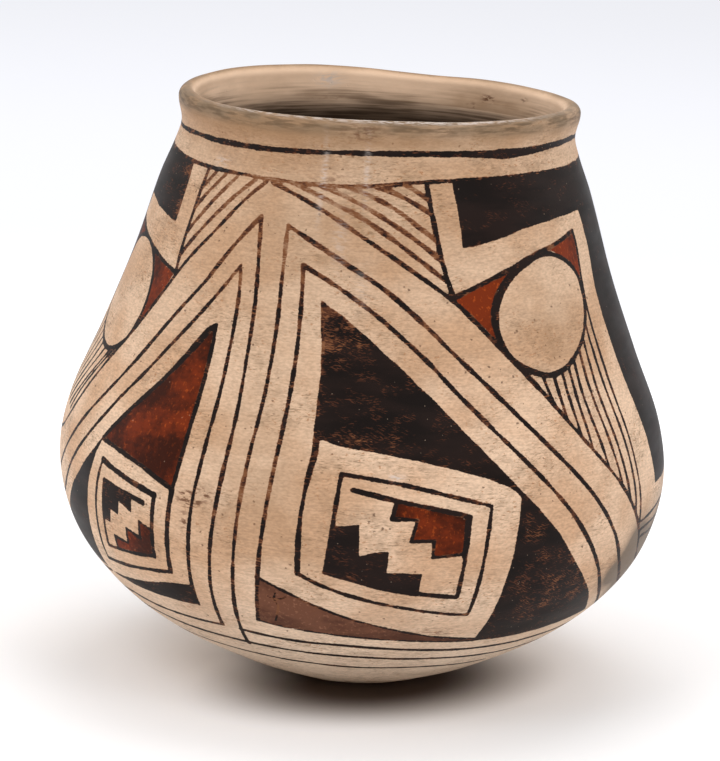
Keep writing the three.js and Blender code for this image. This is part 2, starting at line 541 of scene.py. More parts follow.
    def left_fan(self) -> Iterator[Mark]:
        """Yield the hatched fan on the left of the shoulder, from its bar to its long outer line."""
        yield Stroke(((-51.8, 250.5), (-52.1, 236), (-52.8, 221), (-52.3, 210)), 1.8, 0.4)
        yield Stroke((
            (-30, 249.2), (-35.2, 241.5), (-42, 229), (-50, 214), (-54, 203.5), (-58, 192), (-61.5, 182),
            (-66, 171.5), (-72, 154.5), (-76, 145), (-80, 138.2), (-86, 134), (-92, 133.6),
        ), 1.6, 0.3)
        hatch = (
            ((-33.5, 249.5), (-42, 237), (-50, 222.5), (-52.4, 217)),
            ((-39.8, 249.5), (-46, 238.7), (-52.2, 226)),
            ((-44.3, 249.5), (-48, 243), (-51.9, 235.3)),
            ((-48.3, 249.5), (-51.6, 243)),
        )
        yield from strokes(hatch, 1.8, 0.72)

    def right_fan(self) -> Iterator[Mark]:
        """Yield the hatched fan on the right of the shoulder, from its bar to its long outer line."""
        yield Stroke(((13.7, 252.8), (15.2, 238), (17, 224), (19.4, 210.6)), 1.9, 0.2)
        yield Stroke((
            (-28, 249.3), (-18, 244.2), (-10.2, 238.9), (-2.2, 232), (6, 224.3), (14, 215.9),
            (19.3, 209.6), (23.7, 202.7, 2.1), (31.8, 187.6, 2.4), (39.8, 171.2, 2.0), (47.7, 152.2),
            (55.8, 135.2), (64, 117), (70, 102.5), (74, 97), (80, 93), (92, 89), (104, 87.2),
            (115.2, 86.5),
        ), 1.7, 0.3)
        hatch = (
            (
                (-23, 250.2), (-17, 247.6), (-10, 243.6), (-3.8, 239.9), (4.2, 232.6), (12, 224),
                (17.8, 216.9),
            ),
            ((-15, 250.3), (-7.2, 246.5), (0, 241.6), (8, 234.5), (16.6, 224.6)),
            ((-8, 250.6), (-1, 247.4), (6, 242.5), (11, 237), (15.6, 232)),
            ((0, 251.2), (5, 249), (9, 246.3), (14.6, 241.5)),
            ((7.5, 252.6), (11, 249.8), (14.2, 246.8)),
        )
        yield from strokes(hatch, 1.9, 0.7)

    def four_lines(self) -> Iterator[Mark]:
        """Yield the four lines that rise side by side to peaks and part to either side."""
        yield Stroke((
            (-32.3, 217.5), (-31, 205), (-30.3, 190), (-30, 168), (-30.4, 146), (-31.6, 124),
            (-33, 101), (-33.5, 92), (-33.8, 83.4),
        ), 1.65)
        yield Stroke((
            (-32.3, 217.5), (-36, 208), (-41.2, 195), (-46, 183.5), (-53.3, 165), (-60, 148), (-68, 131),
            (-74, 118.5), (-78, 113), (-84, 109.6), (-90, 109),
        ), 1.7)
        yield Stroke((
            (-29.2, 236.3), (-28.2, 225), (-26.6, 205), (-25.7, 182), (-25.2, 157), (-26.1, 134),
            (-27.8, 110), (-29.2, 90), (-30.4, 72.3),
        ), 1.7)
        yield Stroke(((-30.4, 72.3), (-40, 72), (-50, 72.5), (-60, 74.5)), 1.8)
        yield Stroke((
            (-29.2, 236.3), (-36, 223), (-42, 208), (-47.5, 195.5), (-54, 178), (-62, 157), (-70, 140),
            (-76, 128), (-80, 122.3), (-86, 117), (-92, 116.8),
        ), 1.7)
        yield Stroke((
            (-21.5, 234.5), (-21, 215), (-20.3, 195), (-20.3, 170), (-21.2, 145), (-22.4, 120),
            (-24, 95), (-26, 70), (-26.9, 59),
        ), 1.6)
        yield Stroke((
            (-21.5, 234.3), (-14.2, 228.9), (-6.2, 222.3), (2.8, 214), (11.5, 202.3), (19.2, 189),
            (27.2, 174.6), (35.8, 157.3), (46, 136.4), (53.8, 118.8), (61.9, 99.8), (70, 88), (78, 82),
            (86, 80), (96, 79.8), (106, 81.5), (116, 84),
        ), 1.9)
        yield Stroke((
            (-16.3, 220.4), (-15.2, 198), (-15, 175), (-15.9, 147), (-17.4, 120), (-19.3, 92),
            (-20.4, 80.3),
        ), 1.7)
        yield Stroke((
            (-16.3, 220.4), (-10.2, 215.9), (-4, 210.2), (3, 202.2), (11.8, 188.9), (19.8, 173.4),
            (30, 152.8), (39.9, 132.3), (50, 109), (57.8, 91.6), (66, 79.5), (74, 72.5), (84, 70.3),
            (96, 70.5), (108, 72.3), (120, 74.5),
        ), 1.8)

    def dark_shoulder(self) -> Iterator[Mark]:
        """Yield the black blocks under the neck, and the black band that falls from the right one."""
        yield Fill((
            ((-94, 256), (-86, 253.4), (-78, 252.6), (-68, 251.6)),
            ((-59.8, 251), (-58.7, 240)),
            ((-58.9, 227.5), (-64, 228.8), (-76, 231.5)),
            ((-86, 232.6),),
            ((-94, 232.8),),
        ))
        yield Fill((
            ((20.9, 254.2), (40, 254.9), (62, 255.1), (86, 255.4)),
            ((98, 253),),
            ((98, 232.6), (95, 232.8)),
            ((94, 232.8), (92.6, 220), (91.8, 190), (92, 160)),
            ((93.6, 134), (88, 131.6), (80, 130)),
            ((71.8, 129.6), (70.3, 143), (68.4, 163), (67, 188), (67.2, 208), (68.3, 223), (67.6, 232)),
            ((66.8, 238.3), (60, 237.8), (50, 236.8), (42, 235), (34, 232.3), (28, 230.2)),
            ((22.4, 229), (21.9, 240)),
        ))

    def right_disc(self) -> Iterator[Mark]:
        """Yield the plain disc on the right, its red corners, and the hatching that hangs from it."""
        yield Fill((
            ((19.4, 210.5), (24, 213.3), (30, 217.6)),
            ((38, 222), (34, 218), (30.4, 212.5), (29, 205)),
            ((29.4, 192), (26.6, 198.6), (24, 203)),
        ), Pigment.RED, 0.45)
        yield Fill((
            ((49, 226), (54, 228.4)),
            ((61, 231), (61.4, 224), (60.9, 217)),
            ((59.4, 212.5), (56.6, 219), (53, 223)),
        ), Pigment.RED, 0.3)
        yield Stroke((
            (29.3, 197.5, 3.1), (29.3, 205, 3.6), (31.5, 212.5, 3.4), (35.9, 219, 2.8), (40.4, 222.3, 2.2),
            (46, 224.8, 1.8), (51.5, 223.5, 1.7), (56.5, 219.4, 1.8), (59.3, 213.5, 2.1), (59, 202.5, 2.1),
            (56, 194.2, 1.8), (51.7, 187.4, 1.7), (46.2, 181.8, 2.1), (41, 180.2, 2.3), (36.4, 182.6, 2.5),
            (32.2, 187.3, 2.7), (30.2, 192.4, 2.8), (29.3, 197.5, 3.1),
        ), thin=0.1)
        yield Stroke((
            (19.4, 210.9), (28, 216.4), (36, 221), (43, 224.9), (50, 227.2), (61, 231.3),
        ), 1.8)
        yield Stroke((
            (61, 231.3), (61.5, 224), (60.6, 213), (59.9, 200), (60.2, 178), (61, 158), (62.4, 138),
            (64.7, 117),
        ), 1.6)
        hatch = (
            ((39.3, 181), (40.1, 174), (41, 168.8)),
            ((42.3, 180.6), (42.9, 171), (43.4, 163.4)),
            ((45, 181), (45.5, 168), (46.2, 157)),
            ((47.3, 182), (47.8, 166), (48.6, 151)),
            ((49.5, 184), (50.1, 165), (52.4, 143)),
            ((52.2, 188), (52.9, 166), (56.1, 135.6)),
            ((54.7, 192), (55.5, 162), (59.2, 128)),
            ((57.2, 197), (58.3, 166), (62, 121.8)),
        )
        yield from strokes(hatch, 1.6, 0.25)
        running_round = (
            ((64.8, 117), (72, 118.7), (80, 120.4), (88, 118.6), (94, 117)),
            ((66, 113.3), (76, 114), (88, 113), (98, 111)),
            ((68, 110), (80, 109), (94, 109)),
        )
        yield from strokes(running_round, 1.4, 0.16)

    def left_disc(self) -> Iterator[Mark]:
        """Yield the plain disc on the left, its red corners, and the hatching that hangs from it."""
        yield Fill((
            ((-53, 209.4), (-58, 211.6)),
            ((-67, 216), (-63.5, 211.5), (-61, 203), (-60.2, 196)),
            ((-60.2, 187.5), (-57.5, 194), (-55, 201.5)),
        ), Pigment.RED)
        yield Fill((
            ((-73.5, 218.4), (-80, 220.6), (-87, 222.8)),
            ((-92.4, 224), (-91.6, 214)),
            ((-90.4, 199), (-88, 207), (-85, 212.4), (-80, 216.8)),
        ), Pigment.RED)
        yield Stroke((
            (-73.6, 218.1), (-66.4, 214.4), (-62, 206.5), (-60.2, 196.5), (-60.7, 186.5), (-63.6, 178),
            (-69.8, 173.6), (-76.4, 176.4), (-82.4, 182.4), (-86.8, 191.4), (-88.2, 201), (-85.6, 211),
            (-80.4, 216.6), (-73.6, 218.1),
        ), 1.8, 0.1)
        yield Stroke((
            (-52.3, 209.6), (-60, 212.8), (-68, 216.3), (-76, 219.2), (-84, 222.4), (-94, 225.4),
        ), 1.7)
        hatch = (
            ((-65.6, 175.6), (-70, 165.6), (-78, 145)),
            ((-67.7, 174.4), (-71.5, 165), (-80, 146)),
            ((-70.8, 173.8), (-74.2, 165), (-82.4, 146.6)),
            ((-74, 174.8), (-76.8, 165.5), (-84.6, 147.4)),
            ((-76, 176.6), (-79.8, 165.5), (-86.4, 149)),
            ((-78.4, 178.6), (-82, 167.5), (-88, 151)),
            ((-81.4, 181), (-84.6, 170), (-88.6, 156)),
            ((-84, 185), (-87, 172), (-88.6, 163)),
        )
        yield from strokes(hatch, 1.4, 0.16)

    def red_peak(self) -> Iterator[Mark]:
        """Yield the tall red peak on the left, outlined in black."""
        yield Fill((
            ((-35, 194), (-34.5, 180), (-34.5, 165), (-34.8, 150), (-35.3, 139)),
            ((-35.9, 132.2), (-40, 134.8), (-44, 137.6), (-50, 140.3)),
            ((-56.8, 142.8), (-53.5, 150.5), (-47.5, 164.3), (-41.5, 178.5), (-38, 187.5)),
        ), Pigment.RED)
        yield Stroke((
            (-35.1, 194.2, 1.6), (-34.6, 186), (-34.5, 168), (-34.7, 151), (-35.2, 140),
            (-35.9, 131.8, 1.7),
        ), 1.9, 0.1)
        yield Stroke((
            (-35.1, 194.2, 1.8), (-37, 191, 2.9), (-39, 185.6, 3.2), (-41.6, 178.6, 2.2),
            (-44.3, 172, 2.0), (-47.5, 164.3, 2.2), (-50.5, 157.5), (-53.6, 150.4), (-56.9, 142.8, 1.8),
        ), 2.0, 0.1)
        yield Stroke(((-56.9, 142.8), (-50, 140.4), (-44, 137.6), (-40, 134.9), (-35.9, 132)), 1.9, 0.1)

    def small_panel(self) -> Iterator[Mark]:
        """Yield the small panel on the left: a line that winds inwards, and two stepped frets."""
        winding = (
            ((-35.9, 132), (-36.4, 124), (-37.4, 108), (-37.9, 98)),
            ((-37.9, 98), (-47, 95.2), (-52, 93.9), (-59.7, 93)),
            ((-59.7, 93), (-59, 104), (-57.5, 120), (-55.5, 135.2)),
            ((-55.5, 135.2), (-50.1, 132.5), (-45, 130.4), (-39.9, 128.1)),
            ((-39.9, 128.1), (-40.6, 117), (-41.3, 103.4)),
            ((-41.3, 103.4), (-47, 101.7), (-52, 100.9), (-56.4, 100.5)),
            ((-56.4, 100.5), (-55.6, 110), (-54.3, 127.6)),
            ((-54.3, 127.6), (-48, 125.9), (-42.7, 124.3)),
        )
        for line, width in zip(winding, (2.2, 1.9, 1.5, 2.4, 2.0, 1.7, 1.7, 2.2)):
            yield Stroke(line, width, 0.2)
        yield Fill((
            ((-54.2, 127.8), (-50, 126.6)), *corners(
                (-45.8, 125.4), (-45.9, 118.8), (-49.5, 121.6), (-49.9, 116), (-52.5, 117.6),
                (-53.1, 111.5), (-55.4, 112.6),
            ),
        ), thin=0.2)
        steps = (
            (-40.9, 114.4), (-44, 116.7), (-44.2, 109.7), (-48, 111.9), (-48.3, 105.5), (-52.6, 106.5),
            (-52.7, 101.2), (-41.3, 103.3), (-40.9, 114.4),
        )
        yield Fill(corners(*steps[:-1]), Pigment.RED)
        yield from strokes(zip(steps, steps[1:]), 1.2, 0.15)

    def left_darks(self) -> Iterator[Mark]:
        """Yield the black wedge and the black field that enclose the small panel."""
        yield Fill((
            ((-33, 93.8), (-38, 92.8), (-44, 90), (-50, 87.4), (-56, 85.8)),
            ((-64, 84), (-56, 83), (-48, 81.9), (-40, 82.2)),
            ((-33.4, 83.3),),
        ), thin=0.18)
        yield Fill((
            ((-57, 142.8), (-61, 134.5), (-65, 126), (-69, 119), (-73, 112), (-77, 106), (-83, 98)),
            ((-91, 88.4), (-78, 87.2)),
            ((-64.8, 86.5), (-63.6, 98), (-62, 112), (-60, 126)),
        ))

    def black_peak(self) -> Iterator[Mark]:
        """Yield the tall black peak at the front and the bar that falls from its left corner."""
        yield Fill((
            (
                (-11.4, 209), (-5, 202.2), (0, 195.6), (6, 186.6), (12, 176.4), (18, 164.6), (25, 150),
                (29, 141.6),
            ),
            ((31.6, 136.4),),
            ((30.1, 136.9), (28, 140.2), (24, 143.8), (20, 146.4), (12, 150.4), (4, 153.3), (-3, 155.3)),
            ((-7.6, 157.3),),
            ((-9.5, 155), (-9.4, 165), (-9.4, 180), (-10.1, 195)),
        ))
        yield Stroke((
            (-8.7, 158, 3.0), (-8.9, 150, 2.6), (-9.4, 145, 2.2), (-10.1, 135, 1.7), (-10.6, 122, 2.0),
            (-10.8, 107, 2.1),
        ), 2.0, 0.24)

    def big_panel(self) -> Iterator[Mark]:
        """Yield the panel at the front: a line that winds inwards, and two stepped frets."""
        winding = (
            ((-10.8, 107), (-6, 102), (2, 96.6), (10, 93), (18, 89.9), (22.8, 88.9)),
            ((22.8, 88.9), (23.2, 108), (23.5, 121), (24, 134.4)),
            ((24, 134.4), (16, 138.7), (8, 142.4), (2, 144.4), (-3.6, 145.6)),
            ((-3.6, 145.6), (-4.4, 131), (-5, 119.5), (-5.8, 108.2)),
            ((-5.8, 108.2), (0, 105), (4, 102.8), (11.6, 100.2), (19.4, 98.2)),
            ((19.4, 98.2), (19.5, 109), (20, 130.9)),
            ((20, 130.9), (12, 134.6), (4, 137.9), (-1.5, 140.2)),
        )
        yield from strokes(winding, 1.75, 0.2)
        yield Fill((
            ((-4.5, 126.7),), ((0, 127.7),), ((0.3, 115.7), (3, 117.4)), ((5.6, 118.2),), ((5.4, 109.6),),
            ((11.9, 109),), ((11.6, 100.2), (8, 101.1), (4, 102.8), (0, 105)), ((-5.8, 108.2), (-5.1, 118)),
        ), thin=0.12)
        steps = (
            (6.5, 136.6), (5.7, 130.3), (10.3, 130), (9.3, 121.9), (13.5, 122.2), (13.4, 115.7),
            (19.3, 116.9),
        )
        yield Fill((
            *corners(*steps), ((20, 130.8), (14, 133.6)),
        ), Pigment.RED)
        yield from strokes(zip(steps, steps[1:]), 1.55, 0.15)
        yield Stroke(((19.4, 116), (19.5, 123), (19.6, 130.8)), 2.4, 0.1)

    def right_field(self) -> Iterator[Mark]:
        """Yield the black field that wraps round the front panel on the right."""
        yield Fill((
            ((30.1, 137.6),),
            ((30.9, 137.9), (38, 123.2), (46, 105.6), (54, 91), (60, 80.4)),
            ((64.6, 74.2), (56, 72.7), (44, 70.9), (36, 70.3)),
            ((27.7, 70.3), (28.1, 85), (28.7, 105), (29.6, 127)),
        ), thin=0.12)

    def bottom_wedge(self) -> Iterator[Mark]:
        """Yield the red wedge under the front panel, with its black outlines."""
        top = (
            (-18.7, 103.5), (-14, 98.8), (-8, 92.6), (-2, 87.2), (6, 81.7), (14, 77), (22, 74), (28, 72.2),
        )
        bottom = ((28, 70.6), (20, 71.8), (8, 73.2), (-4, 75.5), (-14, 77.8), (-20.4, 80.3))
        yield Fill((top, bottom[:-1], ((-20.4, 80.3), (-19.3, 92))), Pigment.UMBER)
        yield Stroke(top, 1.3, 0.15)
        yield Stroke(bottom, 1.2, 0.15)
        cracks = (
            ((-15.4, 97), (-15.8, 93.6), (-15.1, 90.5), (-15.6, 86), (-16.4, 81.4)),
            ((-17, 95), (-15.8, 93.6), (-13.4, 95.4)),
        )
        yield from strokes(cracks, 0.8, 0.3)

    def bottom_lines(self) -> Iterator[Mark]:
        """Yield the thin lines that wind down round the base."""
        yield Stroke((
            (-26, 71.4), (-16, 69), (0, 67.5), (12, 65.7), (30, 63.5), (50, 63.9), (78, 64.3), (100, 65),
            (120, 65.5), (130, 64), (142, 62.2), (160, 59.7), (182, 57.8), (200, 55.9), (214, 54.6),
            (236, 53.6), (262, 52.6), (290, 51.8), (312, 51), (330, 47.7), (354, 45.3), (376, 45),
            (388, 43.6), (404, 42),
        ), 2.0, 0.12)


class Coat:
    """The painted marks as they fall on the rows and columns of one mesh.

    The first columns cover the half turn from HALF_START, and the rest repeat it on the other side.
    """

    HALF_START = -90.0
    REACH = 3.0  # millimetres, beyond which a distance doesn't matter

    def __init__(self, skin: WallSkin, rise: np.ndarray, columns: int) -> None:
        """Lay the marks.

        Args:
            skin: The jar's skin.
            rise: Rise of each row, in metres.
            columns: Number of columns round the whole jar.
        """
        self.rise = rise / MM
        self.millimetres = np.maximum(skin.radius_at(rise) / MM, 1.0) * math.pi / 180
        self.half = columns // 2
        self.step = 180.0 / self.half
        shape = (len(rise), self.half)
        self.edge = {pigment: np.full(shape, self.REACH) for pigment in Pigment}
        self.thin = {pigment: np.zeros(shape) for pigment in Pigment}
        decoration = Decoration()
        for mark in decoration.marks():
            if isinstance(mark, Stroke):
                self._draw(smooth_line(mark.points, mark.width), mark)
            else:
                self._flood(mark)
        rubbed = self._rubs(decoration.rubbed)
        self.fields = {
            "stain": self._rubs(decoration.stained),
            "handled": self._rubs(decoration.handled),
            "painted_shade_patch": self._rubs(decoration.shaded_patches),
            "scuff_and_highlight": self._rubs(decoration.scuffed_and_highlit),
        }
        for pigment in Pigment:
            self.fields[f"{pigment.value}_edge"] = np.tile(self.edge[pigment], 2)
            self.fields[f"{pigment.value}_thin"] = np.clip(np.tile(self.thin[pigment], 2) + rubbed, 0, 2)

    def _window(self, points: np.ndarray, margin: float) -> tuple[slice, np.ndarray]:
        """Find what lies near some points.

        Args:
            points: Degrees and rise of each.
            margin: How near, in millimetres.

        Returns:
            The rows and the columns, which are counted on past the half turn.
        """
        low, high = points[:, 1].min() - margin, points[:, 1].max() + margin
        rows = slice(int(np.searchsorted(self.rise, low)), int(np.searchsorted(self.rise, high)))
        if rows.start >= rows.stop:
            return rows, np.arange(0)
        turn = margin / self.millimetres[rows].min()
        first = math.floor((points[:, 0].min() - turn - self.HALF_START) / self.step)
        last = math.ceil((points[:, 0].max() + turn - self.HALF_START) / self.step)
        return rows, np.arange(first, last + 1)

    def _distance(self, rows: slice, columns: np.ndarray, start: Point, end: Point) -> np.ndarray:
        """Return the distance from each place in a window to a short line, less half the line's width.

        Args:
            rows: Rows of the window.
            columns: Columns of the window.
            start: Degrees, rise and width of the line's start.
            end: The same of its end.

        Returns:
            The distances in millimetres, below zero on the line.
        """
        round_mm = self.millimetres[rows][:, None]
        x = (self.HALF_START + columns * self.step - start[0])[None, :] * round_mm
        y = (self.rise[rows] - start[1])[:, None]
        run = (end[0] - start[0]) * round_mm
        climb = end[1] - start[1]
        t = np.clip((x * run + y * climb) / np.maximum(run**2 + climb**2, 1e-9), 0, 1)
        half_width = (start[2] + (end[2] - start[2]) * t) / 2
        return np.hypot(x - t * run, y - t * climb) - half_width

    def _merge(self, mark: Mark, rows: slice, columns: np.ndarray, distance: np.ndarray) -> None:
        """Add one mark's distances in a window to its paint, keeping the least.

        Args:
            mark: The mark.
            rows: Rows of the window.
            columns: Columns of the window.
            distance: Distance to the mark's edge, in millimetres.
        """
        place = (np.arange(rows.start, rows.stop)[:, None], columns[None, :] % self.half)
        edge = self.edge[mark.pigment]
        nearer = distance < edge[place]
        edge[place] = np.where(nearer, distance, edge[place])
        thin = self.thin[mark.pigment]
        thin[place] = np.where(nearer, mark.thin, thin[place])

    def _draw(self, line: np.ndarray, mark: Stroke) -> None:
        """Draw a stroke, one short line at a time.

        Args:
            line: Degrees, rise and width along it.
            mark: The stroke.
        """
        for start, end in zip(line, line[1:]):
            rows, columns = self._window(np.stack([start, end]), self.REACH + max(start[2], end[2]) / 2)
            if len(columns):
                self._merge(mark, rows, columns, self._distance(rows, columns, start, end))

    def _flood(self, mark: Fill) -> None:
        """Fill an area: the distance to its outline, below zero inside it.

        Args:
            mark: The area.
        """
        starts = [edge[0] for edge in mark.edges]
        sides = zip(mark.edges, starts[1:] + starts[:1])
        outline = np.concatenate([smooth_line((*edge, corner), 0.0)[:-1] for edge, corner in sides])
        rows, columns = self._window(outline, self.REACH)
        if not len(columns):
            return
        angle = (self.HALF_START + columns * self.step)[None, :]
        rise = self.rise[rows][:, None]
        distance = np.full((rise.shape[0], angle.shape[1]), self.REACH)
        inside = np.zeros(distance.shape, bool)
        for start, end in zip(outline, np.roll(outline, -1, axis=0)):
            near, around = self._window(np.stack([start, end]), self.REACH)
            if len(around):
                part = (
                    slice(near.start - rows.start, near.stop - rows.start),
                    slice(max(around[0] - columns[0], 0), around[-1] - columns[0] + 1),
                )
                nearest = self._distance(near, columns[part[1]], start, end)
                distance[part] = np.minimum(distance[part], nearest)
            if start[1] != end[1]:
                crossing = start[0] + (rise - start[1]) / (end[1] - start[1]) * (end[0] - start[0])
                inside ^= ((start[1] > rise) != (end[1] > rise)) & (angle < crossing)
        self._merge(mark, rows, columns, np.where(inside, -distance, distance))

    def _rubs(self, rubs: tuple[Rub, ...]) -> np.ndarray:
        """Add up soft patches.

        Args:
            rubs: The patches.

        Returns:
            Their sum at each row and column of the whole turn.
        """
        angle = self.HALF_START + np.arange(2 * self.half) * self.step
        total = np.zeros((len(self.rise), 2 * self.half))
        for rub in rubs:
            around = (angle - rub.angle + 180) % 360 - 180
            across = np.exp(-((around / rub.width) ** 2))[None, :]
            up = np.exp(-(((self.rise - rub.rise) / rub.height) ** 2))[:, None]
            total += rub.amount * up * across
        return total


@dataclass(frozen=True)
class Tone:
    """A number that varies over a surface, which sums can be done with.

    Attributes:
        sheet: The sheet that it is laid out on.
        socket: Where it comes from.
    """

    sheet: "NodeSheet"
    socket: Socket

    def __add__(self, other: "Value") -> "Tone":
        """Return the two added up."""
        return self.sheet.math("ADD", self, other)

    def __sub__(self, other: "Value") -> "Tone":
        """Return this less the other."""
        return self.sheet.math("SUBTRACT", self, other)

    def __rsub__(self, other: float) -> "Tone":
        """Return the other less this."""
        return self.sheet.math("SUBTRACT", other, self)

    def __mul__(self, other: "Value") -> "Tone":
        """Return the two multiplied."""
        return self.sheet.math("MULTIPLY", self, other)

    def __abs__(self) -> "Tone":
        """Return its size, above zero."""
        return self.sheet.math("ABSOLUTE", self)

    __radd__ = __add__

    def at_most(self, limit: float) -> "Tone":
        """Return this, or the limit where this is more."""
        return self.sheet.math("MINIMUM", self, limit)

    def at_least(self, other: "Value") -> "Tone":
        """Return this, or the other where that is more."""
        return self.sheet.math("MAXIMUM", self, other)


Value = Union[Tone, float]
Dye = Union[Socket, Colour]
Ease = tuple[float, ...]


@dataclass(frozen=True)
class Grain:
    """A cloudy pattern on the wall.

    Attributes:
        length: Length of its grain round the wall, in metres.
        height: Height of its grain, in metres.
        ease: The noise, 0 to 1 and mostly 0.3 to 0.7, at which the pattern starts and stops rising, and
            its amounts there, 0 and 1 where they aren't given. Without an ease it is the noise itself.
        detail: Octaves of finer grain.
        slant: How steeply it runs.
    """

    length: float
    height: float
    ease: Ease = ()
    detail: float = 2.0
    slant: float = 0.0


@dataclass(frozen=True)
class Layer:
    """A colour that lies over another.

    Attributes:
        colour: The colour.
        ease: How it eases in or out along something, most often millimetres of rise.
        pattern: Its pattern.
        middle: Middle of a band, from which its ease runs either way.
        limit: The most that it covers.
    """

    colour: Colour
    ease: Ease = ()
    pattern: Optional[Grain] = None
    middle: Optional[float] = None
    limit: float = 1.0


class NodeSheet:
    """Lays out the nodes of one material."""

    def __init__(self, name: str) -> None:
        """Start a material with a bare sheet and one surface shader.

        Args:
            name: Name of the material.
        """
        self.material = bpy.data.materials.new(name)
        self.material.use_nodes = True
        self.tree = self.material.node_tree
        self.tree.nodes.clear()
        self.places: dict[float, Socket] = {}
        self.shader = self.node("BsdfPrincipled")
        self.feed(self.node("OutputMaterial").inputs["Surface"], self.shader.outputs["BSDF"])

    def node(self, kind: str, **settings: str) -> bpy.types.Node:
        """Add a node.

        Args:
            kind: Its kind.
            settings: Settings to make on it, by name.

        Returns:
            The node.
        """
        node = self.tree.nodes.new("ShaderNode" + kind)
        for name, setting in settings.items():
            setattr(node, name, setting)
        return node

    def feed(self, socket: Socket, value: Union[Value, Dye]) -> None:
        """Link a value into a socket, or set it there if it is a plain number or colour.

        Args:
            socket: The socket.
            value: The value.
        """
        if isinstance(value, Tone):
            value = value.socket
        if isinstance(value, bpy.types.NodeSocket):
            self.tree.links.new(value, socket)
        else:
            socket.default_value = value

    def attribute(self, name: str) -> Tone:
        """Return a number that the mesh carries at each vertex."""
        return Tone(self, self.node("Attribute", attribute_name=name).outputs["Fac"])

    def math(self, operation: str, *values: Value) -> Tone:
        """Do a sum.

        Args:
            operation: Its name.
            values: The one or two values that it is done on.

        Returns:
            The result.
        """
        node = self.node("Math", operation=operation)
        for socket, value in zip(node.inputs, values):
            self.feed(socket, value)
        return Tone(self, node.outputs[0])

    def spread(self, value: Tone, low: float, high: float, start: float = 0.0, end: float = 1.0) -> Tone:
        """Return a value eased from start to end as it goes from low to high.

        Args:
            value: The value.
            low: Where the ease begins.
            high: Where it ends.
            start: Result up to low.
            end: Result from high on.

        Returns:
            The eased value.
        """
        node = self.node("MapRange", interpolation_type="SMOOTHSTEP")
        for name, number in (("From Min", low), ("From Max", high), ("To Min", start), ("To Max", end)):
            node.inputs[name].default_value = number
        self.feed(node.inputs["Value"], value)
        return Tone(self, node.outputs["Result"])

    def mix(self, share: Value, first: Dye, second: Union[Dye, Tone], blend: str = "MIX") -> Socket:
        """Return two colours mixed.

        Args:
            share: How much of the second, from 0 to 1.
            first: The colour below.
            second: The colour on top, or its brightness if it is a grey.
            blend: How the second lies on the first.

        Returns:
            The mixed colour.
        """
        node = self.node("Mix", data_type="RGBA", blend_type=blend)
        factor, below, above = node.inputs[0], node.inputs[6], node.inputs[7]
        for socket, value in ((factor, share), (below, first), (above, second)):
            self.feed(socket, value)
        return node.outputs[2]

    def lay(self, below: Dye, layer: Layer, share: Value = 1.0, along: Value = 0.0) -> Socket:
        """Lay a layer over a colour.

        Args:
            below: The colour below.
            layer: The layer.
            share: How much of it shows.
            along: What its ease runs along.

        Returns:
            The new colour.
        """
        if layer.ease:
            run = along if layer.middle is None else abs(along - layer.middle)
            share = self.spread(run, *layer.ease) * share
        if layer.pattern:
            share = self.grain(layer.pattern) * share
        if layer.limit < 1:
            share = share.at_most(layer.limit)
        return self.mix(share, below, layer.colour)

    def wall_place(self, slant: float) -> Socket:
        """Return the place on the wall: X, Y and, in place of Z, the rise, in metres.

        Args:
            slant: How steeply the grain of whatever is laid there runs.

        Returns:
            The place.
        """
        if slant not in self.places:
            split = self.node("SeparateXYZ")
            self.feed(split.inputs[0], self.node("TexCoord").outputs["Object"])
            x, y = (Tone(self, output) for output in split.outputs[:2])
            join = self.node("CombineXYZ")
            for socket, value in zip(join.inputs, (x, y, self.attribute("rise") * MM + (x + y) * slant)):
                self.feed(socket, value)
            self.places[slant] = join.outputs[0]
        return self.places[slant]

    def stretched(self, length: float, height: float, slant: float = 0.0) -> Socket:
        """Return the place on the wall in units of a grain.

        Args:
            length: Length of the grain round the wall, in metres.
            height: Its height, in metres.
            slant: How steeply it runs.

        Returns:
            The place.
        """
        node = self.node("VectorMath", operation="MULTIPLY")
        self.feed(node.inputs[0], self.wall_place(slant))
        node.inputs[1].default_value = (1 / length, 1 / length, 1 / height)
        return node.outputs[0]

    def grain(self, grain: Grain) -> Tone:
        """Return how strong a pattern is over the wall.

        Args:
            grain: The pattern.

        Returns:
            Its strength.
        """
        node = self.node("TexNoise")
        node.inputs["Scale"].default_value = 1.0
        node.inputs["Detail"].default_value = grain.detail
        self.feed(node.inputs["Vector"], self.stretched(grain.length, grain.height, grain.slant))
        noise = Tone(self, node.outputs["Fac"])
        return self.spread(noise, *grain.ease) if grain.ease else noise

    def specks(self, spacing: float) -> Tone:
        """Return the distance to the nearest of scattered points.

        Args:
            spacing: Their spacing, in metres.

        Returns:
            The distance, in shares of the spacing.
        """
        node = self.node("TexVoronoi")
        node.inputs["Scale"].default_value = 1.0
        self.feed(node.inputs["Vector"], self.stretched(spacing, spacing))
        return Tone(self, node.outputs["Distance"])

    def bump(self, height: Tone) -> None:
        """Raise the surface.

        Args:
            height: How far, in millimetres.
        """
        node = self.node("Bump")
        node.inputs["Strength"].default_value = 1.0
        node.inputs["Distance"].default_value = MM
        self.feed(node.inputs["Height"], height)
        self.feed(self.shader.inputs["Normal"], node.outputs["Normal"])


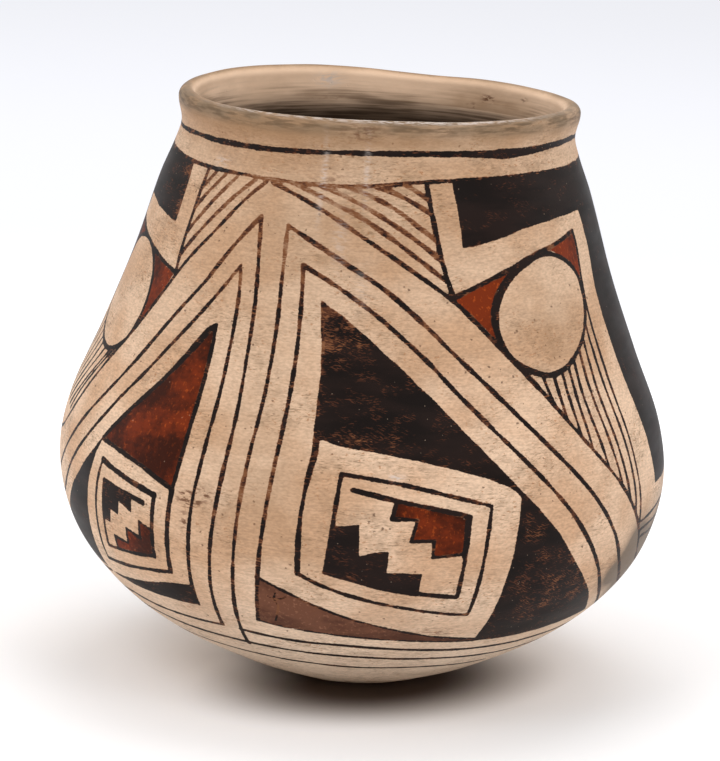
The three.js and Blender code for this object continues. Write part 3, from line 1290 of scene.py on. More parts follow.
@dataclass(frozen=True)
class Slip:
    """The burnished slip: buff, clouded, scratched where it was polished, smudged and pitted.

    Attributes:
        pale: Its lighter colour.
        clouds: Its darker clouds, the foot paler with a painted sheen of the floor, and the darker
            shoulder.
        streaks: Level streaks of brightness, left by the polishing stone.
        grit: Fine grain in that brightness.
        dirt: Clouds of dirt.
        soil: What lies in the dirt, and how much of it shows where there is none: two sets of dirty
            scratches, fine flecks and a thin film.
        clusters: How large the pits are, in clusters.
        torn: How ragged they are.
        pits: Spacing of the pits, in metres.
        pitted: Their colour, and how it eases in.
        wear: Where the mesh says: handled and stained places left by the years, and patches of painted
            shade.
    """

    # Colours that more than one layer has.
    DULL_BROWN = tint(150, 116, 84)
    SMUDGE = tint(120, 96, 72)

    pale: Colour = tint(224, 192, 164)
    clouds: tuple[Layer, ...] = (
        Layer(tint(202, 163, 131), pattern=Grain(0.04, 0.03, (0.36, 0.64), 3)),
        # A painted sheen: the slip paler low on the jar, where the bright floor shows in it.
        Layer(tint(222, 203, 182), (40, 112, 0.75, 0.0)),
        # The slip darker from the shoulder up.
        Layer(DULL_BROWN, (150, 205, 0.0, 0.2)),
    )
    streaks: Grain = Grain(0.016, 0.0008, (0.3, 0.7, 0.93, 1.06), 3)
    grit: Grain = Grain(0.0016, 0.0007, (0.3, 0.7, -0.14, 0.12), 4)
    dirt: Grain = Grain(0.022, 0.018, (0.42, 0.64), 3)
    soil: tuple[tuple[Layer, float], ...] = (
        (Layer(SMUDGE, pattern=Grain(0.0036, 0.0005, (0.56, 0.7, 0, 0.6), 3, 0.05)), 0.0),
        (Layer(SMUDGE, pattern=Grain(0.0022, 0.0005, (0.56, 0.7, 0, 0.6), 3, -0.2)), 0.0),
        (Layer(tint(164, 108, 66), pattern=Grain(0.0014, 0.0009, (0.6, 0.72, 0, 0.55))), 0.3),
        (Layer(SMUDGE, pattern=Grain(0.005, 0.0035, (0.46, 0.7, 0, 0.3), 4)), 0.0),
    )
    clusters: Grain = Grain(0.014, 0.012, (0.4, 0.66, 0.0, 0.17), 3)
    torn: Grain = Grain(0.0012, 0.0006, (0.3, 0.7, -0.08, 0.08))
    pits: float = 0.0034
    pitted: Layer = Layer(tint(74, 50, 36), (0.0, 0.06, 0, 0.7))
    wear: tuple[tuple[str, Layer], ...] = (
        ("handled", Layer(DULL_BROWN, pattern=Grain(0.012, 0.006, (0.25, 0.7, 0.5, 1.0), 4), limit=0.8)),
        # Painted shade, where the mesh says.
        ("painted_shade_patch", Layer(tint(100, 88, 76), limit=0.9)),
        ("stain", Layer(tint(100, 64, 44), pattern=Grain(0.0026, 0.001, (0.46, 0.62), 4), limit=0.85)),
    )

    def lay(self, sheet: NodeSheet) -> Socket:
        """Lay the slip.

        Args:
            sheet: The material's sheet.

        Returns:
            Its colour.
        """
        colour, rise = self.pale, sheet.attribute("rise")
        for layer in self.clouds:
            colour = sheet.lay(colour, layer, along=rise)
        brightness = sheet.grain(self.streaks) + sheet.grain(self.grit)
        colour = sheet.mix(1.0, colour, brightness, "MULTIPLY")
        dirt = sheet.grain(self.dirt)
        for layer, clean in self.soil:
            colour = sheet.lay(colour, layer, dirt + clean)
        size = sheet.grain(self.clusters) + sheet.grain(self.torn)
        return sheet.lay(colour, self.pitted, along=size - sheet.specks(self.pits))

    def mark(self, sheet: NodeSheet, colour: Socket) -> Socket:
        """Lay what years of use have left on the slip, and the painted shade low on the belly.

        Args:
            sheet: The material's sheet.
            colour: The slip's colour.

        Returns:
            The colour where the jar was handled and stained, and where shade is painted.
        """
        for name, layer in self.wear:
            colour = sheet.lay(colour, layer, sheet.attribute(name))
        return colour


@dataclass(frozen=True)
class Brush:
    """The uneven edge that a brush leaves.

    Attributes:
        swell: The edge's slow wander either way.
        swell_middle: The noise at which the edge is where it was drawn.
        tooth: Its fine tooth.
        tooth_depth: Depth of the tooth, in millimetres.
        edge: How the paint eases out across the edge, in millimetres.
    """

    swell: Grain = Grain(0.008, 0.008, detail=1)
    swell_middle: float = 0.51
    tooth: Grain = Grain(0.0013, 0.0008)
    tooth_depth: float = 0.7
    edge: Ease = (-0.13, 0.13, 1, 0)

    def distance(self, sheet: NodeSheet, pigment: Pigment) -> Tone:
        """Return the distance to a paint's edge.

        Args:
            sheet: The material's sheet.
            pigment: The paint.

        Returns:
            The distance in millimetres, below zero where there is paint.
        """
        swell = sheet.grain(self.swell) - self.swell_middle
        tooth = (sheet.grain(self.tooth) - 0.5) * self.tooth_depth
        return sheet.attribute(f"{pigment.value}_edge") + (swell + tooth)


@dataclass(frozen=True)
class BlackPaint:
    """The black paint: a brown-black that wears to brown in fine flakes, most where it went on thin.

    Attributes:
        brush: The brush.
        full: Its colour where it is thickest.
        soft: Its softer clouds.
        faded: How it turns brown and then pale, over its wear.
        patches: Patches of wear.
        scoring: The two sets of scoring that flake it.
        line: Distance from the edge at which a line, and not a field, begins.
        line_scoring: How much less a line is scored than a field.
        cuts: Nicks across a line.
        blots: Blots in a line.
        skimped: How thin it is towards its edge, over the distance to it.
        lost: How it lets the slip through, over its wear.
        chip_size: Size of the chips, in shares of their spacing.
        chip_spacing: Their spacing, in metres.
        chipped: Their colour, and how it eases in.
    """

    brush: Brush = Brush()
    full: Colour = tint(21, 14, 12)
    soft: Layer = Layer(tint(33, 22, 19), pattern=Grain(0.03, 0.008, (0.35, 0.65), 3))
    faded: tuple[Layer, ...] = (
        Layer(tint(76, 43, 29), (0.82, 1.04)), Layer(tint(122, 78, 50), (1.04, 1.36)),
    )
    patches: Grain = Grain(0.008, 0.005, (0.32, 0.68, 0, 0.45))
    scoring: tuple[Grain, Grain] = (
        Grain(0.0024, 0.0004, (0.5, 0.68, 0, 0.5), slant=0.42),
        Grain(0.0024, 0.0004, (0.5, 0.68, 0, 0.5), slant=-0.1),
    )
    line: Ease = (-1.7, -1.0)
    line_scoring: float = 0.65
    cuts: Grain = Grain(0.004, 0.0005, (0.58, 0.68, 0, 0.5))
    blots: Grain = Grain(0.003, 0.003, (0.42, 0.64, 0, 0.34), 3)
    skimped: Ease = (-0.45, 0.05, 0, 0.3)
    lost: Ease = (1.4, 1.9, 1, 0.5)
    chip_size: float = 0.07
    chip_spacing: float = 0.0038
    chipped: Layer = Layer(tint(166, 144, 124), (0.0, 0.04, 0, 0.6))

    def lay(self, sheet: NodeSheet, below: Socket) -> tuple[Socket, Tone]:
        """Lay the paint over a colour.

        Args:
            sheet: The material's sheet.
            below: The colour that it covers.

        Returns:
            The new colour, and how much paint is there, from 0 to 1.
        """
        edge = self.brush.distance(sheet, Pigment.BLACK)
        line = sheet.spread(edge, *self.line)
        first, second = (sheet.grain(scored) for scored in self.scoring)
        flakes = first.at_least(second) * (1.0 - line * self.line_scoring)
        skimped = sheet.attribute("black_thin") + sheet.spread(edge, *self.skimped)
        nicks = sheet.grain(self.cuts) + sheet.grain(self.blots)
        worn = sheet.grain(self.patches) + flakes + skimped + line * nicks
        colour = sheet.lay(self.full, self.soft)
        for layer in self.faded:
            colour = sheet.lay(colour, layer, along=worn)
        colour = sheet.lay(colour, self.chipped, along=self.chip_size - sheet.specks(self.chip_spacing))
        covers = sheet.spread(edge, *self.brush.edge) * sheet.spread(worn, *self.lost)
        return sheet.mix(covers, below, colour), covers


@dataclass(frozen=True)
class EarthPaint:
    """A red or brown earth: deep, brighter in clouds, and chipped through to the slip in specks.

    Attributes:
        pigment: The paint.
        deep: Its colour where it is thickest.
        bright: Its colour where it is thinnest.
        fleck: Colour of the flecks in it.
        brush: The brush.
        cloud: Its clouds.
        wash: The brushed wash in them.
        wash_share: How much of the wash there is in them.
        thinned: How much a place where it went on thin counts as a cloud.
        brightened: How it turns bright, over the clouds.
        flecks: The flecks.
        deep_flecks: How much of them shows where it is deep.
        chip_size: Size of the chips, in shares of their spacing.
        chip_spacing: Their spacing, in metres.
        chip_edge: How they let the slip through.
    """

    pigment: Pigment
    deep: Colour
    bright: Colour
    fleck: Colour
    brush: Brush = Brush()
    cloud: Grain = Grain(0.016, 0.016, detail=4)
    wash: Grain = Grain(0.003, 0.0022, detail=3)
    wash_share: float = 0.4
    thinned: float = 0.5
    brightened: Ease = (0.58, 0.98)
    flecks: Grain = Grain(0.0012, 0.0016, (0.58, 0.7, 0, 0.5))
    deep_flecks: float = 0.25
    chip_size: float = 0.07
    chip_spacing: float = 0.005
    chip_edge: Ease = (0.0, 0.05, 1, 0.6)

    def lay(self, sheet: NodeSheet, below: Socket) -> tuple[Socket, Tone]:
        """Lay the paint over a colour.

        Args:
            sheet: The material's sheet.
            below: The colour that it covers.

        Returns:
            The new colour, and how much paint is there, from 0 to 1.
        """
        edge = self.brush.distance(sheet, self.pigment)
        clouded = sheet.grain(self.cloud) + sheet.grain(self.wash) * self.wash_share
        thin = sheet.attribute(f"{self.pigment.value}_thin") * self.thinned
        brightness = sheet.spread(clouded + thin, *self.brightened)
        colour = sheet.mix(brightness, self.deep, self.bright)
        flecks = sheet.grain(self.flecks) * (brightness + self.deep_flecks)
        colour = sheet.mix(flecks, colour, self.fleck)
        chips = self.chip_size - sheet.specks(self.chip_spacing)
        covers = sheet.spread(edge, *self.brush.edge) * sheet.spread(chips, *self.chip_edge)
        return sheet.mix(covers, below, colour), covers


@dataclass(frozen=True)
class LipBandAndInside:
    """The lip's rubbed, greyish band, and the inside, which darkens quickly from the lip down.

    Its layers ease over millimetres past the crest of the lip, below zero outside.

    Attributes:
        lip: Rise of the lip's crest, in millimetres.
        bands: In the order laid, the brown, handled band under the lip, the grey, rubbed band on it, the
            bleached inside and the grime along the lip.
        streaks: The fine and the coarse streaks where the inside was wiped.
        streaky: How they ease in, over the sum of their noises.
        wiped: The dark that they leave.
        wander: How far the streaks draw the dark inside up and down, in millimetres.
        dark: The dark inside.
        raw: The raw clay towards the floor.
    """

    lip: float
    bands: tuple[Layer, ...] = (
        Layer(tint(148, 114, 80), (-16.0, -7.0, 0, 0.65), Grain(0.02, 0.008, (0.3, 0.6, 0.4, 1), 3)),
        Layer(tint(124, 107, 88), (1.5, 7.0, 1, 0), Grain(0.014, 0.004, (0.34, 0.62, 0.3, 0.8), 4), -3.0),
        Layer(tint(250, 216, 186), (0.6, 4.0), Grain(0.02, 0.008, (0.3, 0.7, 0.98, 0.72), 3)),
        Layer(tint(74, 59, 44), (0.5, 4.5, 1, 0), Grain(0.008, 0.0012, (0.4, 0.62, 0, 0.62), 4), -4.5),
    )
    streaks: tuple[Grain, Grain] = (Grain(0.03, 0.0011, detail=3), Grain(0.03, 0.007))
    streaky: Ease = (0.94, 1.2, 0, 0.5)
    wiped: Layer = Layer(tint(124, 96, 72), (5, 14))
    wander: float = 8.0
    dark: Layer = Layer(tint(52, 38, 28), (13, 31, 0, 0.97))
    raw: Layer = Layer(tint(132, 104, 78), (38, 85, 0, 0.9))

    def lay(self, sheet: NodeSheet, colour: Socket) -> Socket:
        """Lay the wear over a colour.

        Args:
            sheet: The material's sheet.
            colour: The colour below.

        Returns:
            The new colour.
        """
        past = sheet.attribute("rise") - self.lip
        for layer in self.bands:
            colour = sheet.lay(colour, layer, along=past)
        fine, coarse = (sheet.grain(streaks) for streaks in self.streaks)
        streak = fine + coarse
        colour = sheet.lay(colour, self.wiped, sheet.spread(streak, *self.streaky), past)
        # The inside darker from the lip down, and lighter again towards the floor.
        colour = sheet.lay(colour, self.dark, along=past + streak * self.wander)
        return sheet.lay(colour, self.raw, along=past)


@dataclass(frozen=True)
class FootWear:
    """The bare, rubbed clay under the foot, where the jar has stood.

    Attributes:
        clay: Colour of the clay.
        wander: How far its edge wanders, in millimetres.
        worn: How it eases out, over the rise in millimetres.
        cover: How much of the slip is gone.
        dirt: The dirt on it.
    """

    clay: Layer = Layer(tint(168, 130, 98))
    wander: Grain = Grain(0.01, 0.01, (0.3, 0.7, -9, 9), 3)
    worn: Ease = (-2, 12, 1, 0)
    cover: float = 0.85
    dirt: Layer = Layer(tint(112, 88, 70), pattern=Grain(0.006, 0.006, (0.48, 0.66, 0, 0.6), 4))

    def lay(self, sheet: NodeSheet, colour: Socket) -> Socket:
        """Lay the wear over a colour.

        Args:
            sheet: The material's sheet.
            colour: The colour below.

        Returns:
            The new colour.
        """
        worn = sheet.spread(sheet.attribute("rise") + sheet.grain(self.wander), *self.worn)
        return sheet.lay(sheet.lay(colour, self.clay, worn * self.cover), self.dirt, worn)


@dataclass(frozen=True)
class Finish:
    """One slot's finish: the slip, the paints, and the wear of that part of the jar.

    Attributes:
        slot: The record's material slot.
        lip: Rise of the lip's crest, in millimetres.
        paints: The paints, in the order in which they went on.
        scuff_and_highlight: The pale scuffs, and the painted highlights on and inside the lip.
        roughness: Roughness of the polished slip.
        painted_roughness: Roughness of the paint.
        polish: How uneven the polish is.
        gloss: Specular level of slip and paint.
        relief: The facets that the polishing stone left, and the fine grain, with their depths.
        pits: Spacing of the pits.
        pit_depth: How deep they are, over the distance to their middle.
        body: Thickness of the paint.
    """

    slot: Slot
    lip: float
    paints: tuple[Union[EarthPaint, BlackPaint], ...] = (
        EarthPaint(Pigment.RED, tint(54, 18, 4), tint(116, 42, 11), tint(168, 74, 24)),
        EarthPaint(Pigment.UMBER, tint(78, 46, 33), tint(110, 70, 52), tint(150, 104, 80)),
        BlackPaint(),
    )
    scuff_and_highlight: Layer = Layer(
        tint(210, 198, 192), pattern=Grain(0.003, 0.0008, (0.4, 0.6), 4, 0.12), limit=0.7,
    )
    roughness: float = 0.48
    painted_roughness: float = 0.47
    polish: Grain = Grain(0.02, 0.006, (0.3, 0.7, -0.02, 0.04))
    gloss: float = 0.08
    relief: tuple[tuple[Grain, float], ...] = (
        (Grain(0.016, 0.008, detail=1), 0.07), (Grain(0.0012, 0.0009), 0.025),
    )
    pits: float = 0.0042
    pit_depth: Ease = (0.03, 0.12, -0.06, 0.0)
    body: float = 0.02

    def material(self) -> bpy.types.Material:
        """Make the material.

        Returns:
            The finished material, named after its slot.
        """
        sheet = NodeSheet(self.slot.value)
        slip = Slip()
        colour = slip.mark(sheet, LipBandAndInside(self.lip).lay(sheet, slip.lay(sheet)))
        if self.slot is Slot.BARE_CLAY:
            colour = FootWear().lay(sheet, colour)
        paint = 0.0
        for coat in self.paints:
            colour, covers = coat.lay(sheet, colour)
            paint = covers.at_least(paint)
        # Pale scuffs and painted highlights, where the mesh says.
        colour = sheet.lay(colour, self.scuff_and_highlight, sheet.attribute("scuff_and_highlight"))
        smoother = paint * (self.painted_roughness - self.roughness)
        sheet.feed(sheet.shader.inputs["Base Color"], colour)
        sheet.feed(sheet.shader.inputs["Roughness"], self.roughness + sheet.grain(self.polish) + smoother)
        sheet.feed(sheet.shader.inputs["Specular IOR Level"], self.gloss)
        height = paint * self.body + sheet.spread(sheet.specks(self.pits), *self.pit_depth)
        for grain, depth in self.relief:
            height += sheet.grain(grain) * depth
        sheet.bump(height)
        return sheet.material


@dataclass
class Course:
    """One formed member of clay, cut from the skin between two level beds.

    Attributes:
        node: Its CAD node, which also names the piece.
        slot: The record's material slot.
        skin: The jar's skin.
        columns: Vertices round the jar.
        fine: Spacing of the rows where the wall is painted.
        plain: Spacing of the rows elsewhere.
        gutter: Space left between the strips of the texture map.
        bed_share: Width that a bed takes in the texture map.
        least_share: The least that any row takes there.
        inner_share: How much less room the inside takes there than the outside, past the rim.
        rim: How far past the crest of the lip the rim goes.
        beds: Heights of the beds that it starts and ends at.
    """

    node: str
    slot: Slot
    skin: WallSkin
    columns: int = 960
    fine: float = 0.00075
    plain: float = 0.003
    gutter: float = 0.004
    bed_share: float = 0.0015
    least_share: float = 0.0002
    inner_share: float = 0.35
    rim: float = 0.02
    beds: tuple[float, float] = field(init=False)

    def __post_init__(self) -> None:
        """Read the beds from the CAD node."""
        low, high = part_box(self.node)
        self.beds = (low.z, high.z)

    def rows(self, start: float, end: float, spacing: float) -> np.ndarray:
        """Return even rises from one to another, both included, about a spacing apart."""
        return np.linspace(start, end, max(2, round(abs(end - start) / spacing)) + 1)

    def runs(self) -> list[np.ndarray]:
        """Lay out the runs of skin, with a bed after each.

        Returns:
            The rises of each run, in order along the skin.
        """
        low, high = self.beds
        return [
            self.rows(self.skin.outer_rise(low), self.skin.outer_rise(high), self.fine),
            self.rows(self.skin.inner_rise(high), self.skin.inner_rise(low), self.plain),
        ]

    def build(self) -> bpy.types.Object:
        """Build the piece.

        Returns:
            The closed, smooth-shaded mesh, with its paint at the vertices and its texture map.
        """
        runs = self.runs()
        rise = np.concatenate(runs)
        count = len(rise)
        column = np.arange(self.columns)
        angle = np.radians(Coat.HALF_START + column * 360 / self.columns)[None, :]
        poles = bool(self.skin.radius_at(rise[:1])[0] < self.skin.pole)
        strips = np.arange(count - 1 if poles else count)
        below = strips[:, None] * self.columns
        above = (strips[:, None] + 1) % count * self.columns
        across = np.roll(column, -1)
        quads = np.stack([below + column, below + across, above + across, above + column], -1)
        normals = self.skin.normal(rise[:, None], angle).reshape(-1, 3)[quads]
        ends = np.cumsum([len(run) for run in runs]) - 1
        is_bed = np.isin(strips, ends)
        for strip in strips[is_bed]:
            faces_up = len(runs) > 1 and strip == ends[0]
            normals[strip] = (0, 0, 1.0 if faces_up else -1.0)
        uv = self._texture_map(rise, strips, is_bed)
        mesh = self._mesh(self.skin.place(rise[:, None], angle), quads, normals, uv, poles)
        shape = (count, self.columns)
        for name, painted in Coat(self.skin, runs[0], self.columns).fields.items():
            values = np.full(shape, Coat.REACH if name.endswith("_edge") else 0.0, np.float32)
            values[:len(runs[0])] = painted
            self._store(mesh, name, values, poles)
        self._store(mesh, "rise", np.broadcast_to((rise / MM)[:, None], shape), poles)
        return mesh_object(self.node + "_dressed", mesh)

    def _texture_map(self, rise: np.ndarray, strips: np.ndarray, is_bed: np.ndarray) -> np.ndarray:
        """Lay the rows out as bands of the texture map, each a part of the turn, to fill the square.

        Args:
            rise: Rise of each row of vertices.
            strips: The rows of faces.
            is_bed: Whether each row of faces is a bed.

        Returns:
            U and V of each face's corners.
        """
        widths = np.abs(np.diff(np.append(rise, rise[0])))[strips]
        widths[is_bed] = self.bed_share
        widths = np.maximum(widths, self.least_share)
        inner = (rise[strips] > self.skin.top + self.rim) & ~is_bed
        widths = np.where(inner, widths * self.inner_share, widths)
        foot = np.concatenate([[0], np.cumsum(widths)])
        turn = 2 * math.pi * float(self.skin.radius_at(rise).max())
        bands = max(1, round(math.sqrt(turn / foot[-1])))
        per_band = self.columns // bands
        column = np.arange(self.columns)
        band = np.minimum(column // per_band, bands - 1)
        longest = self.columns - per_band * (bands - 1)
        usable = 1 - 2 * self.gutter
        band_height = 1 / bands
        scale = (band_height - 2 * self.gutter) / foot[-1]
        base = band[None, :] * band_height + self.gutter
        v0, v1 = (base + row[:, None] * scale for row in (foot[:-1], foot[1:]))
        start = column - band * per_band
        u0, u1 = (
            np.broadcast_to(self.gutter + usable * (side / longest), v0.shape)
            for side in (start, start + 1)
        )
        corners_at = [(u0, v0), (u1, v0), (u1, v1), (u0, v1)]
        return np.stack([np.stack(corner, -1) for corner in corners_at], 2)

    def _mesh(self, points: np.ndarray, quads: np.ndarray, normals: np.ndarray, uv: np.ndarray,
              poles: bool) -> bpy.types.Mesh:
        """Make the mesh from its rows.

        Args:
            points: X, Y and Z by row and column.
            quads: The four vertices of each face, by strip and column.
            normals: A normal for each of a face's corners.
            uv: U and V for each of a face's corners.
            poles: Whether the first and the last row are single points on the axis.

        Returns:
            The mesh.
        """
        vertices = points.reshape(-1, 3)
        faces = quads.reshape(-1, 4)
        used = np.ones(faces.shape, bool)
        if poles:
            vertices = np.concatenate([points[:1, 0], points[1:-1].reshape(-1, 3), points[-1:, 0]])
            faces = np.clip(faces - self.columns + 1, 0, len(vertices) - 1)
            used[:self.columns, 1] = False
            used[-self.columns:, 2] = False
        totals = used.sum(1).astype(np.int32)
        starts = np.concatenate([[0], np.cumsum(totals)[:-1]]).astype(np.int32)
        mesh = bpy.data.meshes.new(self.node)
        mesh.vertices.add(len(vertices))
        mesh.vertices.foreach_set("co", vertices.astype(np.float32).ravel())
        mesh.loops.add(int(totals.sum()))
        mesh.loops.foreach_set("vertex_index", faces[used].astype(np.int32))
        mesh.polygons.add(len(faces))
        mesh.polygons.foreach_set("loop_start", starts)
        mesh.polygons.foreach_set("loop_total", totals)
        mesh.polygons.foreach_set("use_smooth", np.ones(len(faces), bool))
        layer = mesh.uv_layers.new(name="OFBake")
        layer.uv.foreach_set("vector", uv.reshape(-1, 4, 2)[used].astype(np.float32).ravel())
        mesh.update(calc_edges=True)
        mesh.validate()
        mesh.normals_split_custom_set(normals.reshape(-1, 4, 3)[used].astype(np.float32))
        return mesh

    def _store(self, mesh: bpy.types.Mesh, name: str, values: np.ndarray, poles: bool) -> None:
        """Store a number at each vertex.

        Args:
            mesh: The mesh.
            name: Name of the number.
            values: The number by row and column.
            poles: Whether the first and the last row are single points on the axis.
        """
        flat = values.reshape(-1)
        if poles:
            flat = np.concatenate([values[0, :1], values[1:-1].reshape(-1), values[-1, :1]])
        layer = mesh.attributes.new(name, "FLOAT", "POINT")
        layer.data.foreach_set("value", np.ascontiguousarray(flat, np.float32))


@dataclass
class MouldedBase(Course):
    """The bowl pressed in a mould, closed underneath and inside.

    Attributes:
        bare: Rise up to which the outside has no paint.
    """

    bare: float = 0.039

    def runs(self) -> list[np.ndarray]:
        """Lay out the two runs of skin.

        Returns:
            The rises of the underside and outside, and of the inside and floor.
        """
        high = self.beds[1]
        start, end = self.skin.rise[0], self.skin.rise[-1]
        under = self.rows(start, self.bare, self.plain)
        painted = self.rows(self.bare, self.skin.outer_rise(high), self.fine)
        inside = self.rows(self.skin.inner_rise(high), end, self.plain)
        return [np.concatenate([under, painted[1:]]), inside]


@dataclass
class RolledRim(Course):
    """The last coil, flared a little and rolled over into a round lip.

    Attributes:
        lip_fine: How much closer its rows are than those of the painted wall.
    """

    lip_fine: float = 0.8

    def __post_init__(self) -> None:
        """Take the bed from the neck, because the lip's own height waves."""
        self.beds = (self.skin.neck, self.skin.crest)

    def runs(self) -> list[np.ndarray]:
        """Return the rises of the one run that goes up the outside, over the lip and down the inside."""
        low = self.beds[0]
        return [self.rows(self.skin.outer_rise(low), self.skin.inner_rise(low), self.fine * self.lip_fine)]


@dataclass
class CoiledJar:
    """The whole jar: a moulded base, the body's coils, a neck coil and the rim.

    Attributes:
        skin: The jar's skin.
        body_coils: Number of coils between the base and the neck.
    """

    skin: WallSkin = field(default_factory=WallSkin)
    body_coils: int = 9

    def courses(self) -> Iterator[Course]:
        """Yield the courses from the bottom up."""
        yield MouldedBase("moulded_base", Slot.BARE_CLAY, self.skin)
        for number in range(1, self.body_coils + 1):
            yield Course(f"body_coil_{number}", Slot.PAINTED_SLIP, self.skin)
        yield Course("neck_coil", Slot.PAINTED_SLIP, self.skin)
        yield RolledRim("rim_coil", Slot.WORN_RIM, self.skin)

    def build(self) -> None:
        """Build every course, dress it, and put it in its CAD node's place."""
        lip = float(self.skin.top) / MM
        finishes = {slot: Finish(slot, lip).material() for slot in Slot}
        for course in self.courses():
            piece = course.build()
            piece.data.materials.append(finishes[course.slot])
            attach(piece, "root")
            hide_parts(course.node)
            log.info("%s: %d faces in %s", piece.name, len(piece.data.polygons), course.slot.value)


@dataclass(frozen=True)
class Lamp:
    """A soft box.

    Attributes:
        name: Its name.
        place: Where it stands, in metres.
        size: Its width.
        power: Its power in watts.
    """

    name: str
    place: tuple[float, float, float]
    size: float
    power: float


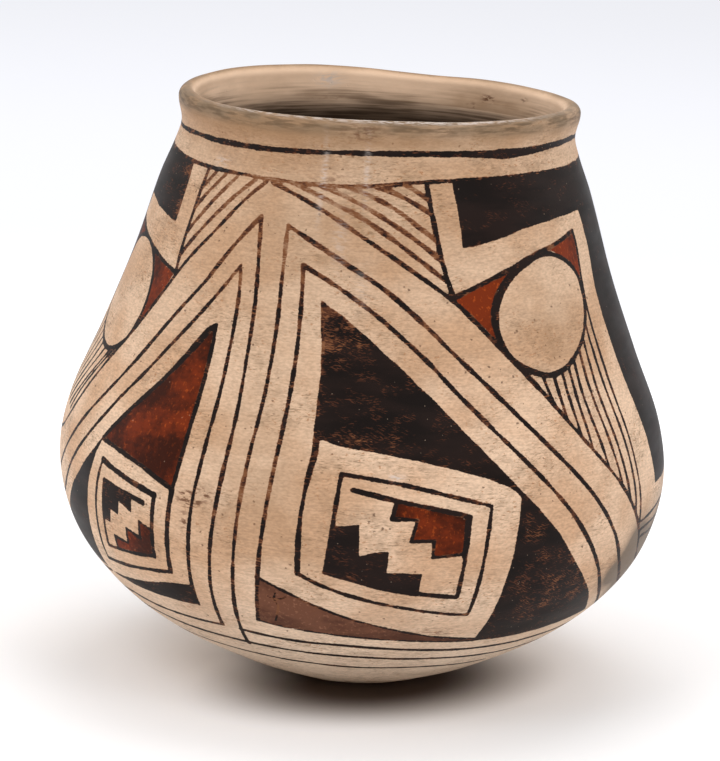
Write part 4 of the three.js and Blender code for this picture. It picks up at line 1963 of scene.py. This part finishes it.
@dataclass
class Studio:
    """A pale floor, soft light and the camera.

    Attributes:
        eye: Where the camera stands.
        aim: The point on the jar's axis that it looks at.
        lens: Focal length for a 36 mm picture side, in millimetres.
        roll: How far the camera leans to the left, in degrees.
        shift: How far the picture is moved across and up, in shares of its long side.
        lamps: The soft boxes.
        sky: Colour of the even light all round.
        sky_strength: Its strength.
        floor_side: Side of the floor.
        paper: Colour of the floor's paper.
        paper_roughness: Its roughness.
        glow: How much of its own light the paper shows, at distances from the jar.
        unlit: Distances from the jar over which the paper's own light takes over from the lamps'.
        horizon: Colour of that light.
        painted_contact_shadow: The shadow painted under the jar: its middle across and front to back, its
            ends.
        oval: Which way the painted shadow is narrow, in degrees, and how narrow.
        shade: Colour of the paper in the painted shadow.
    """

    eye: tuple[float, float, float] = (0.0, -1.43665, 0.4170)
    aim: tuple[float, float, float] = (0.0, 0.0, 0.1116)
    lens: float = 179.12
    roll: float = 2.80
    shift: tuple[float, float] = (-0.0079, 0.0018)
    lamps: tuple[Lamp, ...] = (
        Lamp("key_box", (-1.0, -1.1, 1.8), 0.9, 7.6),
        Lamp("fill_box", (1.0, -1.2, 1.7), 0.9, 7.2),
        Lamp("top_box", (0.15, 0.7, 2.1), 1.2, 11.0),
        Lamp("left_box", (-1.5, 0.3, 0.6), 0.7, 2.2),
        Lamp("right_box", (1.5, 0.3, 0.6), 0.7, 1.6),
    )
    sky: Colour = (1.0, 0.985, 0.96, 1.0)
    sky_strength: float = 0.78
    floor_side: float = 12.0
    paper: Colour = tint(248, 248, 250)
    paper_roughness: float = 0.8
    glow: tuple[tuple[float, float], ...] = (
        (0.045, 0.0), (0.11, 0.07), (0.2, 0.12), (0.4, 0.4), (1.0, 1.09), (2.7, 0.92),
    )
    unlit: tuple[float, float] = (0.4, 1.0)
    horizon: Colour = tint(238, 239, 245)
    painted_contact_shadow: tuple[float, float, float, float] = (0.01, -0.029, 0.026, 0.09)
    oval: tuple[float, float] = (-50.0, 0.66)
    shade: Colour = tint(62, 44, 32)

    def build(self) -> None:
        """Build the floor, the light and the camera."""
        self._floor()
        self._world()
        for lamp in self.lamps:
            self._lamp(lamp)
        self._camera()
        bpy.context.scene.view_settings.view_transform = "Standard"
        log.info("studio: floor, %d lamps and camera", len(self.lamps))

    def _camera(self) -> None:
        """Stand the camera where the jar is seen from."""
        camera = bpy.data.objects.new("camera", bpy.data.cameras.new("camera"))
        bpy.context.scene.collection.objects.link(camera)
        back = np.array(self.eye) - np.array(self.aim)
        pitch = math.atan2(math.hypot(back[0], back[1]), back[2])
        turn = math.atan2(back[0], -back[1])
        aimed = Matrix.Rotation(turn, 4, "Z") @ Matrix.Rotation(pitch, 4, "X")
        rolled = aimed @ Matrix.Rotation(math.radians(self.roll), 4, "Z")
        camera.matrix_world = Matrix.Translation(self.eye) @ rolled
        camera.data.lens = self.lens
        camera.data.shift_x, camera.data.shift_y = self.shift
        bpy.context.scene.camera = camera

    def _lamp(self, lamp: Lamp) -> None:
        """Hang a soft box, turned to the jar.

        Args:
            lamp: The soft box.
        """
        light = bpy.data.lights.new(lamp.name, "AREA")
        light.shape = "SQUARE"
        light.size = lamp.size
        light.energy = lamp.power
        box = bpy.data.objects.new(lamp.name, light)
        bpy.context.scene.collection.objects.link(box)
        x, y, z = (place - aim for place, aim in zip(lamp.place, self.aim))
        box.location = lamp.place
        box.rotation_euler = (math.atan2(math.hypot(x, y), z), 0, math.atan2(x, -y))
        box.visible_camera = False

    def _world(self) -> None:
        """Surround the jar with even white light."""
        world = bpy.data.worlds.new("studio")
        bpy.context.scene.world = world
        world.use_nodes = True
        light = world.node_tree.nodes["Background"]
        light.inputs["Color"].default_value = self.sky
        light.inputs["Strength"].default_value = self.sky_strength

    def _floor(self) -> None:
        """Lay the pale floor, white further off by light of its own, with a shadow painted under the jar.
        """
        half = self.floor_side / 2
        corners_at = [(-half, -half, 0), (half, -half, 0), (half, half, 0), (-half, half, 0)]
        mesh = bpy.data.meshes.new("floor")
        mesh.from_pydata(corners_at, [], [(0, 1, 2, 3)])
        floor = mesh_object("floor", mesh)
        sheet = NodeSheet("white_paper")
        sheet.feed(sheet.shader.inputs["Roughness"], self.paper_roughness)
        place = sheet.node("TexCoord").outputs["Object"]
        across, forward, near, far = self.painted_contact_shadow
        direction, narrow = self.oval
        oval = sheet.node("Mapping", vector_type="TEXTURE")
        oval.inputs["Location"].default_value = (across, forward, 0.0)
        oval.inputs["Rotation"].default_value = (0.0, 0.0, math.radians(direction))
        oval.inputs["Scale"].default_value = (narrow, 1.0, 1.0)
        sheet.feed(oval.inputs["Vector"], place)
        distance, from_shadow = (self._length(sheet, start) for start in (place, oval.outputs["Vector"]))
        rays = sheet.node("LightPath").outputs
        camera, glossy, through = (
            Tone(sheet, rays[name]) for name in ("Is Camera Ray", "Is Glossy Ray", "Is Transmission Ray")
        )
        seen = camera.at_least(glossy.at_least(through))
        # The shadow under the jar, painted into the paper's colour for the camera and for reflections.
        shaded = sheet.mix(sheet.spread(from_shadow, near, far), self.shade, self.paper)
        black = (0.0, 0.0, 0.0, 1.0)
        faded = sheet.mix(sheet.spread(distance, *self.unlit), shaded, black)
        sheet.feed(sheet.shader.inputs["Base Color"], sheet.mix(seen, self.paper, faded))
        strength = 0.0
        for (start, low), (end, high) in zip(self.glow, self.glow[1:]):
            strength = sheet.spread(distance, start, end, 0.0, high - low) + strength
        sheet.feed(sheet.shader.inputs["Emission Color"], self.horizon)
        sheet.feed(sheet.shader.inputs["Emission Strength"], seen * strength)
        mesh.materials.append(sheet.material)

    def _length(self, sheet: NodeSheet, place: Socket) -> Tone:
        """Measure how far a place is from where its coordinates start.

        Args:
            sheet: The sheet that it is laid out on.
            place: The place.

        Returns:
            The distance.
        """
        node = sheet.node("VectorMath", operation="LENGTH")
        sheet.feed(node.inputs[0], place)
        return Tone(sheet, node.outputs["Value"])


def main() -> None:
    """Build the studio and the jar, and report each piece."""
    logging.basicConfig(level=logging.INFO, format="%(message)s")
    Studio().build()
    CoiledJar().build()


if __name__ == "__main__":
    main()
